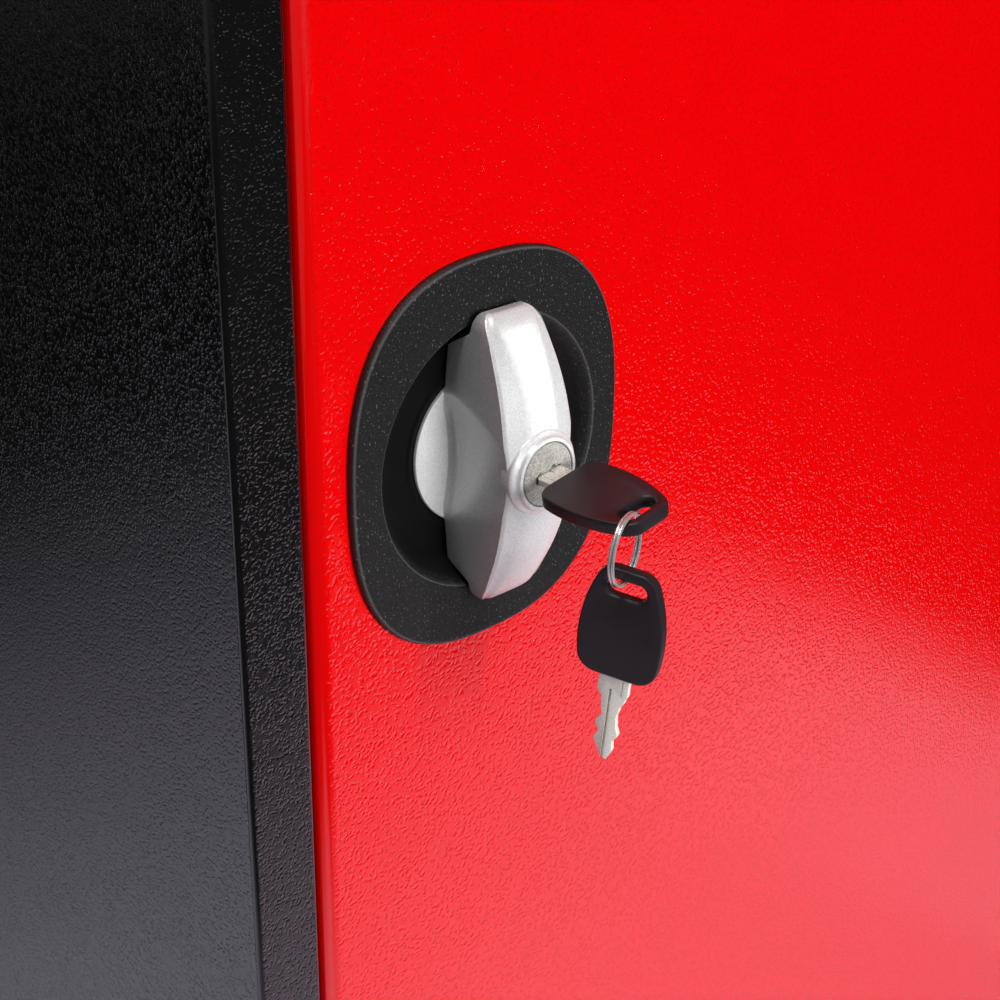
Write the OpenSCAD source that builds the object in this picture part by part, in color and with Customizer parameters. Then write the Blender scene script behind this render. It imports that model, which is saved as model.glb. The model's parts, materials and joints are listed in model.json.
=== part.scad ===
// Steel small parts cabinet: one inset door with a recessed turn-handle lock, shelves and open bins.
// Origin at the centre of the base, +Z up, the door faces -Y, +X to the right. Millimetres.

/* [Cabinet] */
// Overall width
body_w = 600; // [580:1:760]
// Overall height
body_h = 1000; // [960:1:1200]
// Overall depth from the door's face to the rear flanges
body_d = 300; // [300:1:400]
// Thickness of the steel sheet
sheet = 1; // [0.8:0.1:1.4]
// Outside radius of the sheet bends
bend_r = 2; // [1.6:0.1:3]
// Width of the frame seen round the door
stile_w = 24.5; // [22:0.5:36]
// Width of the flanges at the rear
rear_flange = 18; // [12:1:20]
// Depth of the flanges that tie the top and bottom to the sides
tie_flange = 12; // [8:1:18]
// Gap between the door and the frame
door_gap = 2.5; // [1.8:0.1:3.5]
// Width of the door's turned-in hem
door_hem = 14; // [10:1:24]
// Distance of the wall screw holes from the side and the top
wall_inset = 90; // [60:5:140]
// Radius of the wall screw holes
wall_hole_r = 4.5; // [3:0.5:6]

/* [Hinge] */
// Distance of the hinge pins from the door's edge
hinge_in = 10; // [9:0.5:14]
// Distance of the hinge pins behind the door's face
hinge_back = 6; // [5.8:0.1:6.4]
// Radius of the hinge pins
hinge_r = 3; // [2:0.1:3.2]
// Wall of the hinge bushes
bush_wall = 1.5; // [1:0.1:1.7]

/* [Shelves] */
// Number of loose shelves
shelf_count = 4; // [2:1:4]
// Distance from the door's face to the front of the shelves
shelf_back = 32; // [28:1:60]
// Height of the shelf lips
shelf_lip = 20; // [12:1:30]
// Height step of the slots in the shelf strips
slot_pitch = 19; // [16:1:20]
// Slots from one shelf to the next
shelf_step = 10; // [9:1:10]
// Slots below the first shelf
first_slot = 8; // [7:1:9]
// Width of the shelf strips
strip_w = 20; // [16:1:30]
// Depth of the shelf strips
strip_d = 10; // [8:1:14]
// Thickness of the shelf clips
clip_t = 1.5; // [1:0.1:2.5]

/* [Bins] */
// Bins side by side on one shelf
bin_cols = 4; // [3:1:4]
// Width of a bin over its rim
bin_w = 130; // [100:1:130]
// Clearance behind a bin
bin_behind = 23; // [12:1:60]
// Height of a bin
bin_h = 112; // [90:1:120]
// Wall of a bin
bin_t = 2.2; // [1.6:0.1:3]
// Height of a bin's low front wall
bin_front = 46; // [36:1:60]
// Length of the sloping mouth
bin_mouth = 70; // [50:1:100]
// Narrowing of a bin from rim to base on each side
bin_draft = 4; // [2:0.5:6]
// Overhang of the bin rim
bin_rim = 3; // [2:0.5:4]

/* [Escutcheon] */
// Distance from the door's edge to the lock axis
backset = 70; // [66:1:100]
// Height of the escutcheon
plate_h = 130; // [126:1:140]
// Width of the escutcheon
plate_w = 113.5; // [112:0.5:122]
// Exponent of the escutcheon's squared oval
plate_power = 2.53; // [2.3:0.01:4]
// Thickness of the escutcheon in front of the door
plate_t = 3.2; // [3:0.1:5]
// Radius of the bowl at its rim
bowl_r = 45.1; // [44.6:0.1:46]
// Radius of the bowl's floor
floor_r = 38; // [37:0.5:40]
// Depth of the bowl
bowl_depth = 8.7; // [8:0.1:10]
// Wall of the moulded bowl
mould_t = 2.2; // [1.6:0.1:2.6]
// Place of the screw posts across the lock axis
post_x = 36; // [36:0.5:38]
// Place of the screw posts above and below the lock axis
post_z = 42; // [41:0.5:44]
// Radius of the screw posts
post_r = 4.2; // [3.4:0.1:4.6]

/* [Handle] */
// Length of the grip
grip_l = 97; // [93:0.5:99]
// Width of the grip before its sides are hollowed
grip_w = 29.2; // [28:0.1:32]
// Width of the grip near its ends
grip_end_w = 23.2; // [20:0.1:26]
// How far the grip's front edges stand out of the door at mid length
grip_out = 25; // [24:0.1:27]
// Radius of the grip's bowed front
grip_bow = 82.6; // [75:0.1:95]
// Height of the grip's raised front face above its edges
grip_crown = 1.2; // [0.6:0.1:1.4]
// Half width of the raised front face
grip_face = 6.4; // [5:0.1:8]
// Radius of the hollow in the grip's sides
hollow_r = 61.5; // [56:0.1:70]
// Least thickness of the grip between its hollows, at the front edges
waist_w = 27; // [26:0.1:28]
// How much narrower the waist is at the disc, on each side
waist_draft = 3.3; // [1:0.1:4]
// Radius of the disc under the grip
disc_r = 26.1; // [24:0.1:30]
// Height of the disc's face above the bowl floor
disc_rise = 1.5; // [1.2:0.1:2]
// Radius of the bearing hub
hub_r = 12; // [11.9:0.1:12.6]
// How far the lock's face stands out of the door
lock_out = 28; // [27.4:0.1:29]
// Radius of the collar round the lock
collar_r = 12; // [11.8:0.1:12.6]

/* [Lock] */
// Radius of the lock barrel
barrel_r = 10.6; // [10.5:0.05:10.8]
// Length of the lock barrel
barrel_l = 18; // [14:0.5:19]
// Radius of the turning plug
plug_r = 8.95; // [8.6:0.05:9.2]
// Angle of the key as photographed, above horizontal
key_angle = 10; // [0:1:20]
// Throw of the plug's tail pin from the lock axis
tail_throw = 2.6; // [2.4:0.05:2.7]
// Thickness of the locking bolt
bolt_t = 3; // [2:0.1:3.2]
// Height of the locking bolt
bolt_h = 9.6; // [9:0.1:9.8]
// Radius of the circle that the cam pins turn on
cam_throw = 12; // [11:0.1:13]
// Radius of the cam pins
cam_pin_r = 2.5; // [2:0.1:2.8]
// Thickness of the cam plate
cam_t = 3; // [2:0.1:4]
// Width of the locking rods
rod_w = 13.4; // [13:0.1:14]
// Thickness of the locking rods
rod_t = 3; // [2:0.1:4]

/* [Keys] */
// Length of a key's moulded bow
bow_l = 37; // [35:0.5:40]
// Greatest width of the bow
bow_w = 27.2; // [25:0.1:29]
// Thickness of the bow
bow_t = 4.5; // [4:0.1:5]
// Gap between the lock's face and the bow of the key in it
bow_gap = 6.6; // [5:0.1:8]
// Width of the slot in the bow
slot_w = 13; // [12:0.5:14]
// Height of the slot in the bow
slot_h = 5.3; // [5.2:0.1:6]
// Strip of the bow beyond its slot
slot_edge = 3.8; // [3:0.1:5]
// Length of a key blade
blade_l = 30; // [26:0.5:30]
// Width of a key blade at its shoulder
shoulder_w = 10; // [9:0.1:10.2]
// Width of a key blade over its teeth
blade_w = 8.4; // [7:0.1:9]
// Thickness of a key blade
blade_t = 2.2; // [1.8:0.1:2.3]
// Radius of the key ring at the middle of its wire
ring_r = 11; // [10.6:0.1:14]
// Radius of the ring's wire
wire_r = 0.62; // [0.5:0.01:0.7]
// Turn of the ring's plane from the door's plane
ring_turn = 20; // [14:1:21]
// Turn of the hanging key from the door's plane
spare_turn = 70; // [60:0.5:75]
// How far the hanging key's middle is from the ring
spare_shift = 1.6; // [0:0.1:3.5]
// Lean of the hanging key in its own plane
spare_lean = 5; // [0:0.5:8]

/* [Hidden] */
$fn = 96;
overcut = 1;        // how far a cut runs past a face
run_fit = 0.05;     // radial clearance of a turning fit
free_gap = 0.3;     // clearance between parts that pass each other
rod_gap = 0.5;      // clearance round the rods and their pins

// Lock axis and front plane in the cabinet's frame.
front_y = -body_d / 2;
lock_x = -body_w / 2 + stile_w + door_gap + backset;
lock_z = body_h / 2;

// Depths behind the door's face, from the bowl floor back to the rods and the door's hem.
floor_y = bowl_depth - plate_t;
floor_back = floor_y + mould_t;
disc_y = floor_y - disc_rise;
disc_back = floor_y - free_gap;
case_t = 2;
case_in = floor_back + 1.3;
case_back = case_in + case_t;
sleeve_wall = 3;
sleeve_back = case_back + 0.7;
cam_y = sleeve_back + free_gap;
cam_back = cam_y + cam_t;
rod_y = cam_back + rod_gap;
rod_back = rod_y + rod_t;
lip_d = rod_y - rod_gap;
door_d = rod_back + rod_gap + sheet;

// Door and opening.
open_w = body_w - 2 * stile_w;
open_h = body_h - 2 * stile_w;
door_w = open_w - 2 * door_gap;
door_h = open_h - 2 * door_gap;
door_hole_r = bowl_r + 1.9;
hinge_x = door_w / 2 - hinge_in;
hinge_y = front_y + hinge_back;
bush_r = hinge_r + run_fit + bush_wall;
bush_l = 8;
washer_w = 2.4;

// Lock, handle and keys, in the lock's frame.
case_w = 100;
case_h = 104;
case_wall = 1.5;
screw_r = 1.6;
screw_head_r = 3.8;
sleeve_r = hub_r + run_fit;
spindle_w = 11;
lip_back = plate_t + 1.6;
heel_y = floor_y - 0.9;
heel_z = floor_r - 1.4;
heel_run = 5.8;
head_r = barrel_r - free_gap;
head_t = 1.8;
barrel_front = lock_out - head_t - 0.2;
barrel_y = barrel_l - barrel_front;
tail_r = 4.2;
tail_y = disc_y - 0.5;
bolt_y = disc_back + 1.8;
bolt_tip = 10.5;
bolt_tail = 7;
tail_pin_r = 1;
rod_travel = cam_throw * sqrt(2);
rod_reach = lock_z - stile_w - door_gap - 0.2;
bow_y = lock_out + bow_gap;
slot_t = bow_l - slot_edge - slot_h / 2;
pivot_s = slot_w / 2 + 0.6;
pivot_gap = bow_t / 2 + 0.75;
ring_off = 2.1;
ring_c = [-pivot_s * cos(key_angle), -bow_y - slot_t - ring_off,
          -pivot_s * sin(key_angle) + pivot_gap + wire_r - ring_r];

// Shelves, strips and bins.
shelf_y = front_y + shelf_back;
shelf_gap = 2;
shelf_d = body_d - shelf_back - 2 * sheet - shelf_gap;
shelf_w = body_w - 2 * (sheet + strip_d + shelf_gap);
shelf_hem = 14;
strip_end = 15;
strip_front = 20;
strip_rear = 40;
strip_z = stile_w + strip_end;
strip_h = body_h - 2 * strip_z;
slot_first = strip_z + strip_end;
slot_high = 4;
slot_long = 10;
clip_w = 8;
clip_reach = 12;
clip_y = [shelf_y + strip_front, shelf_y + shelf_d - strip_rear];
bin_ahead = 6;
bin_y = shelf_y + bin_ahead;
bin_l = shelf_d - bin_ahead - bin_behind;
bin_pitch = open_w / bin_cols;
function clip_z(i) = slot_first + slot_pitch * (first_slot + shelf_step * (i - 1));
function shelf_top(i) = i == 0 ? sheet : clip_z(i) + clip_t / 2 + sheet;

// Shared shapes

// A rectangle with its corner at the origin and all corners round.
module round_rect(w, d, r) {
  translate([r, 0]) square([w - 2 * r, d]);
  translate([0, r]) square([w, d - 2 * r]);
  for (x = [r, w - r], y = [r, d - r]) translate([x, y]) circle(r);
}

// The outline of a folded sheet that runs all round a rectangle.
module folded_ring(w, d) {
  difference() {
    round_rect(w, d, bend_r);
    translate([sheet, sheet]) round_rect(w - 2 * sheet, d - 2 * sheet, bend_r - sheet);
  }
}

// A rectangle centred on X from y = 0 back, with the two corners at y = 0 round.
module front_round(w, d, r) {
  translate([-w / 2, r]) square([w, d - r]);
  translate([-w / 2 + r, 0]) square([w - 2 * r, d]);
  for (s = [-1, 1]) translate([s * (w / 2 - r), r]) circle(r);
}

// A slab in the XZ plane, from y = 0 back, with its four front edges round.
module slab(w, h, d, r) {
  intersection() {
    translate([0, 0, -h / 2]) linear_extrude(h) front_round(w, d, r);
    translate([-w / 2, 0, 0]) rotate([0, 90, 0]) linear_extrude(w) front_round(h, d, r);
  }
}

// A cylinder along Y.
module bar_y(r, y0, y1) {
  translate([0, y0, 0]) rotate([-90, 0, 0]) cylinder(r = r, h = y1 - y0);
}

// A turned shape about Y, from points of radius and y.
module turned(points) {
  rotate([90, 0, 0]) rotate_extrude() polygon([for (p = points) [p[0], -p[1]]]);
}

// A box between two corners.
module box(low, high) {
  translate(low) cube(high - low);
}

// A solid skin over a row of rings with equally many points.
module loft(rings) {
  n = len(rings[0]);
  last = (len(rings) - 1) * n;
  polyhedron(
    points = [for (ring = rings, p = ring) p],
    faces = concat(
      [[for (i = [0 : n - 1]) i]],
      [for (k = [0 : len(rings) - 2], i = [0 : n - 1], half = [0, 1])
        let (a = k * n + i, b = k * n + (i + 1) % n)
        half == 0 ? [a, a + n, b + n] : [a, b + n, b]],
      [[for (i = [n - 1 : -1 : 0]) last + i]]));
}

module at_lock() {
  translate([lock_x, front_y, lock_z]) children();
}

// Places a shape on the door's hinge line at a height.
module at_hinge(z) {
  translate([hinge_x, hinge_y, z]) children();
}

// Carcass

// A side with its stile, the stile's inner lip and a rear flange, folded from one sheet.
module side_panel() {
  translate([-body_w / 2, front_y, 0]) difference() {
    linear_extrude(body_h) difference() {
      folded_ring(stile_w, body_d);
      translate([rear_flange, lip_d]) square([stile_w, body_d]);
    }
    for (z = [-overcut, body_h - sheet]) translate([sheet, sheet, z])
      cube([stile_w, body_d - 2 * sheet, sheet + overcut]);
  }
}

module left_side_panel() {
  color("#1c1c1e") side_panel();
}

module right_side_panel() {
  color("#1c1c1e") mirror([1, 0, 0]) side_panel();
}

// The bottom, with the front rail between the stiles and flanges that tie it to the sides.
module floor_pan() {
  web = body_w / 2 - sheet;
  tie_end = lip_d + 5;
  difference() {
    union() {
      translate([-open_w / 2, front_y, 0]) rotate([90, 0, 90]) linear_extrude(open_w) difference() {
        folded_ring(body_d, stile_w);
        translate([lip_d, sheet]) square([body_d, stile_w]);
        translate([body_d - sheet, -overcut]) square([body_d, stile_w]);
      }
      box([-web, front_y + sheet, 0], [web, -front_y - sheet, sheet]);
      for (s = [-1, 1]) translate([s * (web - sheet / 2) - sheet / 2, front_y + tie_end, 0])
        cube([sheet, body_d - 2 * tie_end, tie_flange]);
    }
    translate([hinge_x, hinge_y, stile_w - sheet - overcut]) cylinder(r = hinge_r, h = 3 * overcut);
  }
}

module bottom_panel() {
  color("#1c1c1e") floor_pan();
}

module top_panel() {
  color("#1c1c1e") translate([0, 0, body_h]) mirror([0, 0, 1]) floor_pan();
}

// The back lies against the rear flanges, clear of their bends, with a screw hole near each corner.
module back_panel() {
  color("#1c1c1e") difference() {
    box([-body_w / 2 + bend_r, -front_y - 2 * sheet, sheet],
        [body_w / 2 - bend_r, -front_y - sheet, body_h - sheet]);
    for (s = [-1, 1], z = [wall_inset, body_h - wall_inset])
      translate([s * (body_w / 2 - wall_inset), 0, z])
        bar_y(wall_hole_r, -front_y - 2 * sheet - overcut, -front_y);
  }
}

// Two upright channels on the left side with a column of slots for the shelf clips.
module strip_pair() {
  slots = floor((strip_h - 2 * strip_end) / slot_pitch);
  for (y = clip_y) translate([-body_w / 2 + sheet, y - strip_w / 2, strip_z]) difference() {
    linear_extrude(strip_h) difference() {
      round_rect(strip_d, strip_w, bend_r);
      translate([-sheet, sheet]) round_rect(strip_d, strip_w - 2 * sheet, bend_r - sheet);
      translate([-overcut, sheet]) square([strip_d / 2, strip_w - 2 * sheet]);
    }
    for (i = [0 : slots])
      translate([strip_d - sheet - overcut, (strip_w - slot_long) / 2,
                 slot_first - strip_z + i * slot_pitch - slot_high / 2])
        cube([sheet + 2 * overcut, slot_long, slot_high]);
  }
}

module shelf_strips_left() {
  color("#3a3a3c") strip_pair();
}

module shelf_strips_right() {
  color("#3a3a3c") mirror([1, 0, 0]) strip_pair();
}

// A bent clip: a tongue through a slot of the strip and a leg down its face.
module shelf_clip() {
  face = -body_w / 2 + sheet + strip_d;
  tongue = 3;
  leg = 8;
  translate([face, -clip_w / 2, -clip_t / 2]) {
    translate([-tongue, 0, 0]) cube([tongue + clip_reach, clip_w, clip_t]);
    translate([0, 0, -leg]) cube([clip_t, clip_w, leg + clip_t / 2]);
  }
}

module shelf_clips() {
  color("silver") for (i = [1 : shelf_count], y = clip_y, side = [0, 1])
    mirror([side, 0, 0]) translate([0, y, clip_z(i)]) shelf_clip();
}

// A shelf with a folded front edge and a plain rear lip.
module shelf(i) {
  color("#2a2a2c") translate([-shelf_w / 2, shelf_y, shelf_top(i)]) mirror([0, 0, 1])
    rotate([90, 0, 90]) linear_extrude(shelf_w) difference() {
      folded_ring(shelf_d, shelf_lip);
      translate([shelf_hem, shelf_lip - bend_r]) square([shelf_d, bend_r + overcut]);
    }
}

// Tabs behind the left stile that the closed door comes to rest against.
module door_stops() {
  tab_t = 1.5;
  tab_h = 20;
  tab_root = 8;
  hem_lap = door_hem - 3;
  inner = -open_w / 2 - sheet;
  rest_y = front_y + door_d + free_gap;
  color("#1c1c1e") for (z = [body_h / 4, body_h * 3 / 4]) translate([0, 0, z - tab_h / 2]) {
    box([inner - tab_t, front_y + lip_d - tab_root, 0], [inner, rest_y + tab_t, tab_h]);
    box([inner - tab_t, rest_y, 0], [-door_w / 2 + hem_lap, rest_y + tab_t, tab_h]);
  }
}

// Hinge pins stand in the rails' lips and reach into the door's bushes.
module hinge_pin() {
  head_w = 1.5;
  head_h = 2;
  color("silver") at_hinge(0) {
    translate([0, 0, stile_w - sheet - head_h]) cylinder(r = hinge_r + head_w, h = head_h);
    translate([0, 0, stile_w - sheet]) cylinder(r = hinge_r, h = sheet + door_gap + bush_l + 2);
  }
}

module lower_hinge_pin() {
  hinge_pin();
}

module upper_hinge_pin() {
  translate([0, 0, body_h]) mirror([0, 0, 1]) hinge_pin();
}

// The washer on the lower rail that the door turns on.
module lower_hinge_washer() {
  color("whitesmoke") at_hinge(stile_w) difference() {
    cylinder(r = hinge_r + washer_w, h = door_gap - 0.1);
    translate([0, 0, -overcut]) cylinder(r = hinge_r, h = door_gap + 2 * overcut);
  }
}

// Bins

// A block that widens from its base to its top, given as low and high edges in X and Y.
module widening(base, top, h) {
  function corners(e, z) = [[e[0], e[2], z], [e[1], e[2], z], [e[1], e[3], z], [e[0], e[3], z]];
  loft([corners(base, 0), corners(top, h)]);
}

// An open-fronted bin, from its front edge at y = 0 back, standing on z = 0.
module bin_shell() {
  half = bin_w / 2 - bin_rim;
  foot = half - bin_draft;
  rim_h = 5;
  lean = 3 * bin_draft;
  difference() {
    union() {
      widening([-foot, foot, lean, bin_l - bin_rim - bin_draft], [-half, half, 0, bin_l - bin_rim], bin_h);
      translate([0, 0, bin_h - rim_h])
        box([-bin_w / 2, bin_mouth, 0], [bin_w / 2, bin_l, rim_h]);
    }
    translate([0, 0, bin_t])
      widening([-foot + bin_t, foot - bin_t, lean + bin_t, bin_l - bin_rim - bin_draft - bin_t],
               [-half + bin_t, half - bin_t, bin_t, bin_l - bin_rim - bin_t], bin_h);
    translate([-bin_w, 0, 0]) rotate([90, 0, 90]) linear_extrude(2 * bin_w)
      polygon([[-overcut, bin_front], [lean, bin_front], [bin_mouth, bin_h], [bin_mouth, bin_h + overcut],
               [-overcut, bin_h + overcut]]);
  }
}

// A frame on the bin's front wall that holds a card.
module card_frame() {
  lean = 3 * bin_draft;
  card_w = bin_w * 0.55;
  card_foot = 9;
  card_head = 7;
  card_h = bin_front - card_foot - card_head;
  edge = 2.5;
  translate([0, lean, 0]) rotate([atan(lean / bin_h), 0, 0])
    translate([-card_w / 2, -1.2, card_foot]) difference() {
      cube([card_w, 1.6, card_h]);
      translate([edge, -overcut, edge]) cube([card_w - 2 * edge, 1.2 + overcut, card_h]);
    }
}

module bin(row, col) {
  x = (col - (bin_cols + 1) / 2) * bin_pitch;
  color("#b51a1c") translate([x, bin_y, shelf_top(row)]) {
    bin_shell();
    card_frame();
  }
}

// Door

// The door is a shallow pan with a hem, cut for the lock, its rods and the hinge bushes.
module door_panel() {
  color("#d8040a") translate([0, front_y, lock_z]) difference() {
    slab(door_w, door_h, door_d, bend_r);
    translate([0, sheet, 0])
      slab(door_w - 2 * sheet, door_h - 2 * sheet, door_d - 2 * sheet, bend_r - sheet);
    translate([-door_w / 2 + door_hem, sheet, -door_h / 2 + door_hem])
      cube([door_w - 2 * door_hem, door_d, door_h - 2 * door_hem]);
    translate([lock_x, 0, 0]) {
      bar_y(door_hole_r, -overcut, sheet + overcut);
      for (x = [-post_x, post_x], z = [-post_z, post_z])
        translate([x, 0, z]) bar_y(post_r + free_gap, -overcut, sheet + overcut);
      for (s = [-1, 1])
        box([s * cam_throw - rod_w / 2 - rod_gap, rod_y - rod_gap, s * (door_h / 2 - sheet / 2) - sheet],
            [s * cam_throw + rod_w / 2 + rod_gap, rod_back + rod_gap, s * (door_h / 2 - sheet / 2) + sheet]);
    }
    for (s = [-1, 1]) translate([hinge_x, hinge_back, s * (door_h / 2 - sheet / 2) - sheet])
      cylinder(r = bush_r, h = 2 * sheet);
  }
}

// A hat-section rib inside the door.
module door_stiffener() {
  rib_w = 60;
  rib_foot = 16;
  rib_d = 11;
  rib_end = 20;
  rib_h = door_h - 2 * (door_hem + rib_end);
  crest = rib_w - 2 * rib_foot;
  color("#d8040a") translate([0, front_y + sheet, lock_z - rib_h / 2]) linear_extrude(rib_h)
    translate([0, rib_d]) mirror([0, 1]) difference() {
      union() {
        front_round(crest, rib_d, bend_r);
        translate([-rib_w / 2, rib_d - sheet]) square([rib_w, sheet]);
      }
      translate([0, sheet]) front_round(crest - 2 * sheet, rib_d, bend_r - sheet);
    }
}

// Bushes in the door's top and bottom folds, with a snap collar above the fold's bend.
module hinge_bush() {
  at_hinge(stile_w + door_gap) difference() {
    union() {
      cylinder(r = bush_r, h = bush_l);
      translate([0, 0, bend_r]) cylinder(r = bush_r + 0.4, h = 2);
    }
    translate([0, 0, -overcut]) cylinder(r = hinge_r + run_fit, h = bush_l + 2 * overcut);
  }
}

module hinge_bushes() {
  color("whitesmoke") {
    hinge_bush();
    translate([0, 0, body_h]) mirror([0, 0, 1]) hinge_bush();
  }
}

// Escutcheon

// A point of the squared oval, drawn in by some distance, at a depth.
function oval_point(a, inset, y) =
  let (c = cos(a), s = sin(a), e = 2 / plate_power)
  [(plate_w / 2 - inset) * sign(c) * pow(abs(c), e), y, (plate_h / 2 - inset) * sign(s) * pow(abs(s), e)];
function oval_ring(inset, y) = [for (i = [0 : 71]) oval_point(i * 5, inset, y)];

// The oval flange, with its outer edge rolled back to the door.
module oval_flange() {
  roll = plate_t - 1.2;
  loft(concat(
    [oval_ring(0, 0)],
    [for (a = [0 : 18 : 90]) oval_ring(roll * (1 - cos(a)), -1.2 - roll * sin(a))]));
}

// The moulding: flange, bowl with a low rim round the handle's disc, bearing sleeve and screw posts.
module lock_escutcheon() {
  slope = (bowl_r - floor_r) / bowl_depth;
  door_r = bowl_r - slope * plate_t;
  edge = 0.8;
  rim_in = disc_r + 2 * free_gap;
  rim_out = rim_in + 2;
  rim_y = floor_y - 0.5;
  color("#141414") at_lock() difference() {
    union() {
      oval_flange();
      turned([[0, -1], [door_r + mould_t, -1], [door_r + mould_t, 0], [floor_r + mould_t, floor_y],
              [floor_r, floor_back], [0, floor_back]]);
      bar_y(sleeve_r + sleeve_wall, floor_y, sleeve_back);
      for (x = [-post_x, post_x], z = [-post_z, post_z]) translate([x, 0, z]) bar_y(post_r, -1, case_in);
    }
    turned([[0, -plate_t - overcut], [bowl_r + edge, -plate_t - overcut], [bowl_r + edge, -plate_t],
            [bowl_r, edge - plate_t], [floor_r + edge, floor_y - edge], [floor_r - edge, floor_y],
            [rim_out, floor_y], [rim_out, rim_y], [rim_in, rim_y], [rim_in, floor_y], [0, floor_y]]);
    bar_y(sleeve_r, 0, sleeve_back + overcut);
    for (x = [-post_x, post_x], z = [-post_z, post_z])
      translate([x, 0, z]) bar_y(screw_r, -1, case_in + overcut);
    for (a = [0, 90]) rotate([0, -a, 0])
      box([0, bolt_y - free_gap, -bolt_h / 2 - free_gap],
          [sleeve_r + sleeve_wall + overcut, bolt_y + bolt_t + free_gap, bolt_h / 2 + free_gap]);
  }
}

// The pressed case behind the door that clamps the escutcheon.
module lock_case() {
  color("silver") at_lock() difference() {
    translate([0, case_back, 0]) mirror([0, 1, 0]) slab(case_w, case_h, case_back - sheet, bend_r);
    box([-case_w / 2 + case_wall, 0, -case_h / 2 + case_wall],
        [case_w / 2 - case_wall, case_in, case_h / 2 - case_wall]);
    bar_y(sleeve_r + sleeve_wall + free_gap, 0, case_back + overcut);
    for (x = [-post_x, post_x], z = [-post_z, post_z])
      translate([x, 0, z]) bar_y(screw_r + 0.4, 0, case_back + overcut);
  }
}

module case_screws() {
  color("silver") at_lock() for (x = [-post_x, post_x], z = [-post_z, post_z]) translate([x, 0, z])
    turned([[0, 0], [screw_r, 0], [screw_r, case_back], [screw_head_r, case_back],
            [screw_head_r, case_back + 1.2], [screw_head_r - 1.2, case_back + 2.2], [0, case_back + 2.2]]);
}

// Handle

// Half width of the grip at a depth and a height: the outline, or the hollow where that cuts deeper.
function outline_w(z) = grip_w / 2 - (grip_w - grip_end_w) / 2 * pow(abs(z) / (grip_l / 2 - 5), 2);
function hollow_w(y, z) =
  let (r = hollow_r + waist_draft * (y + grip_out) / (disc_y + grip_out), c = hollow_r + waist_w / 2)
  c - sqrt(max(r * r - z * z, 1));
function side_w(y, z) = min(outline_w(z), hollow_w(y, z));
function edge_y(z) = -grip_out + grip_bow - sqrt(grip_bow * grip_bow - z * z);
function heel(z) = heel_y - (heel_y + lip_back) * min(max((abs(z) - heel_z) / heel_run, 0), 1);

// A section of the grip across its length, drawn in over the last few millimetres.
side_bulge = 0.2;
function grip_ring(z) =
  let (past = max(abs(z) - grip_l / 2 + 5, 0) / 5, full = sqrt(max(1 - past * past, 0)),
       kx = 0.68 + 0.32 * full, ky = 0.45 + 0.55 * full,
       back = heel(z), front = edge_y(z), mid = (back + front) / 2,
       face = grip_face + 1.4 * pow(2 * z / grip_l, 2), edge = side_w(front, z),
       left = [for (t = [0, 0.3, 0.6, 0.85])
         let (y = back + t * (front - back)) [-side_w(y, z) - side_bulge * sin(180 * t), y]],
       top = [[-edge, front + 0.6], [0.7 - edge, front - 0.1], [-face, front - grip_crown],
              [0, front - grip_crown - 0.4], [face, front - grip_crown], [edge - 0.7, front - 0.1],
              [edge, front + 0.6]],
       right = [for (i = [len(left) - 1 : -1 : 0]) [-left[i][0], left[i][1]]])
  [for (p = concat(left, top, right)) [p[0] * kx, mid + (p[1] - mid) * ky, z]];

grip_steps = concat([for (k = [0 : 8]) heel_z * k / 9], [for (k = [0 : 4]) heel_z + heel_run * k / 4],
                    [for (a = [0 : 15 : 90]) grip_l / 2 - 5 + 5 * sin(a)]);

module grip() {
  loft(concat([for (i = [len(grip_steps) - 1 : -1 : 1]) grip_ring(-grip_steps[i])],
              [for (z = grip_steps) grip_ring(z)]));
}

// The cast handle: grip, disc, hub and square spindle, with room for the barrel and the bolt.
module turn_handle() {
  color("#c3c4c4") at_lock() difference() {
    union() {
      grip();
      turned([[0, disc_y], [disc_r - 0.4, disc_y], [disc_r, disc_y + 0.4], [disc_r, disc_back],
              [0, disc_back]]);
      turned([[0, 0], [collar_r + 2.4, -grip_out + 1], [collar_r + 0.6, -grip_out - 0.8],
              [collar_r, -lock_out + 0.8], [collar_r - 0.5, -lock_out], [0, -lock_out]]);
      bar_y(hub_r, disc_y, cam_y);
      box([-spindle_w / 2, cam_y - overcut, -spindle_w / 2], [spindle_w / 2, cam_back - 0.2, spindle_w / 2]);
    }
    bar_y(barrel_r, -lock_out - overcut, barrel_y);
    bar_y(plug_r + free_gap, barrel_y - overcut, disc_y);
    bar_y(tail_r + 0.4, disc_y - overcut, bolt_y);
    box([-bolt_tail - 1, bolt_y - 0.15, -bolt_h / 2 - 0.2],
        [hub_r + overcut, bolt_y + bolt_t + 0.15, bolt_h / 2 + 0.2]);
    bar_y(2, bolt_y + bolt_t + 1, cam_back);
  }
}

module lock_barrel() {
  color("#8c8c8e") at_lock() difference() {
    bar_y(barrel_r, -barrel_front, barrel_y);
    bar_y(plug_r + run_fit, -barrel_front - overcut, barrel_y + overcut);
  }
}

// The bolt that the plug pushes out of the hub into a notch of the bowl's sleeve.
tail_at = -125;
module lock_bolt() {
  pin = tail_throw * [cos(tail_at), sin(tail_at)];
  color("silver") at_lock() difference() {
    box([-bolt_tail, bolt_y, -bolt_h / 2], [bolt_tip, bolt_y + bolt_t, bolt_h / 2]);
    box([pin[0] - tail_pin_r - 0.2, bolt_y - overcut, -tail_throw - tail_pin_r - free_gap],
        [pin[0] + tail_pin_r + 0.2, bolt_y + bolt_t + overcut, tail_pin_r + free_gap - tail_throw * sin(45)]);
  }
}

// Points of the cam pins at rest, on the way up for the upper rod and down for the lower one.
cam_at = [for (a = [-45, 135]) cam_throw * [cos(a), 0, sin(a)]];

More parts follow.
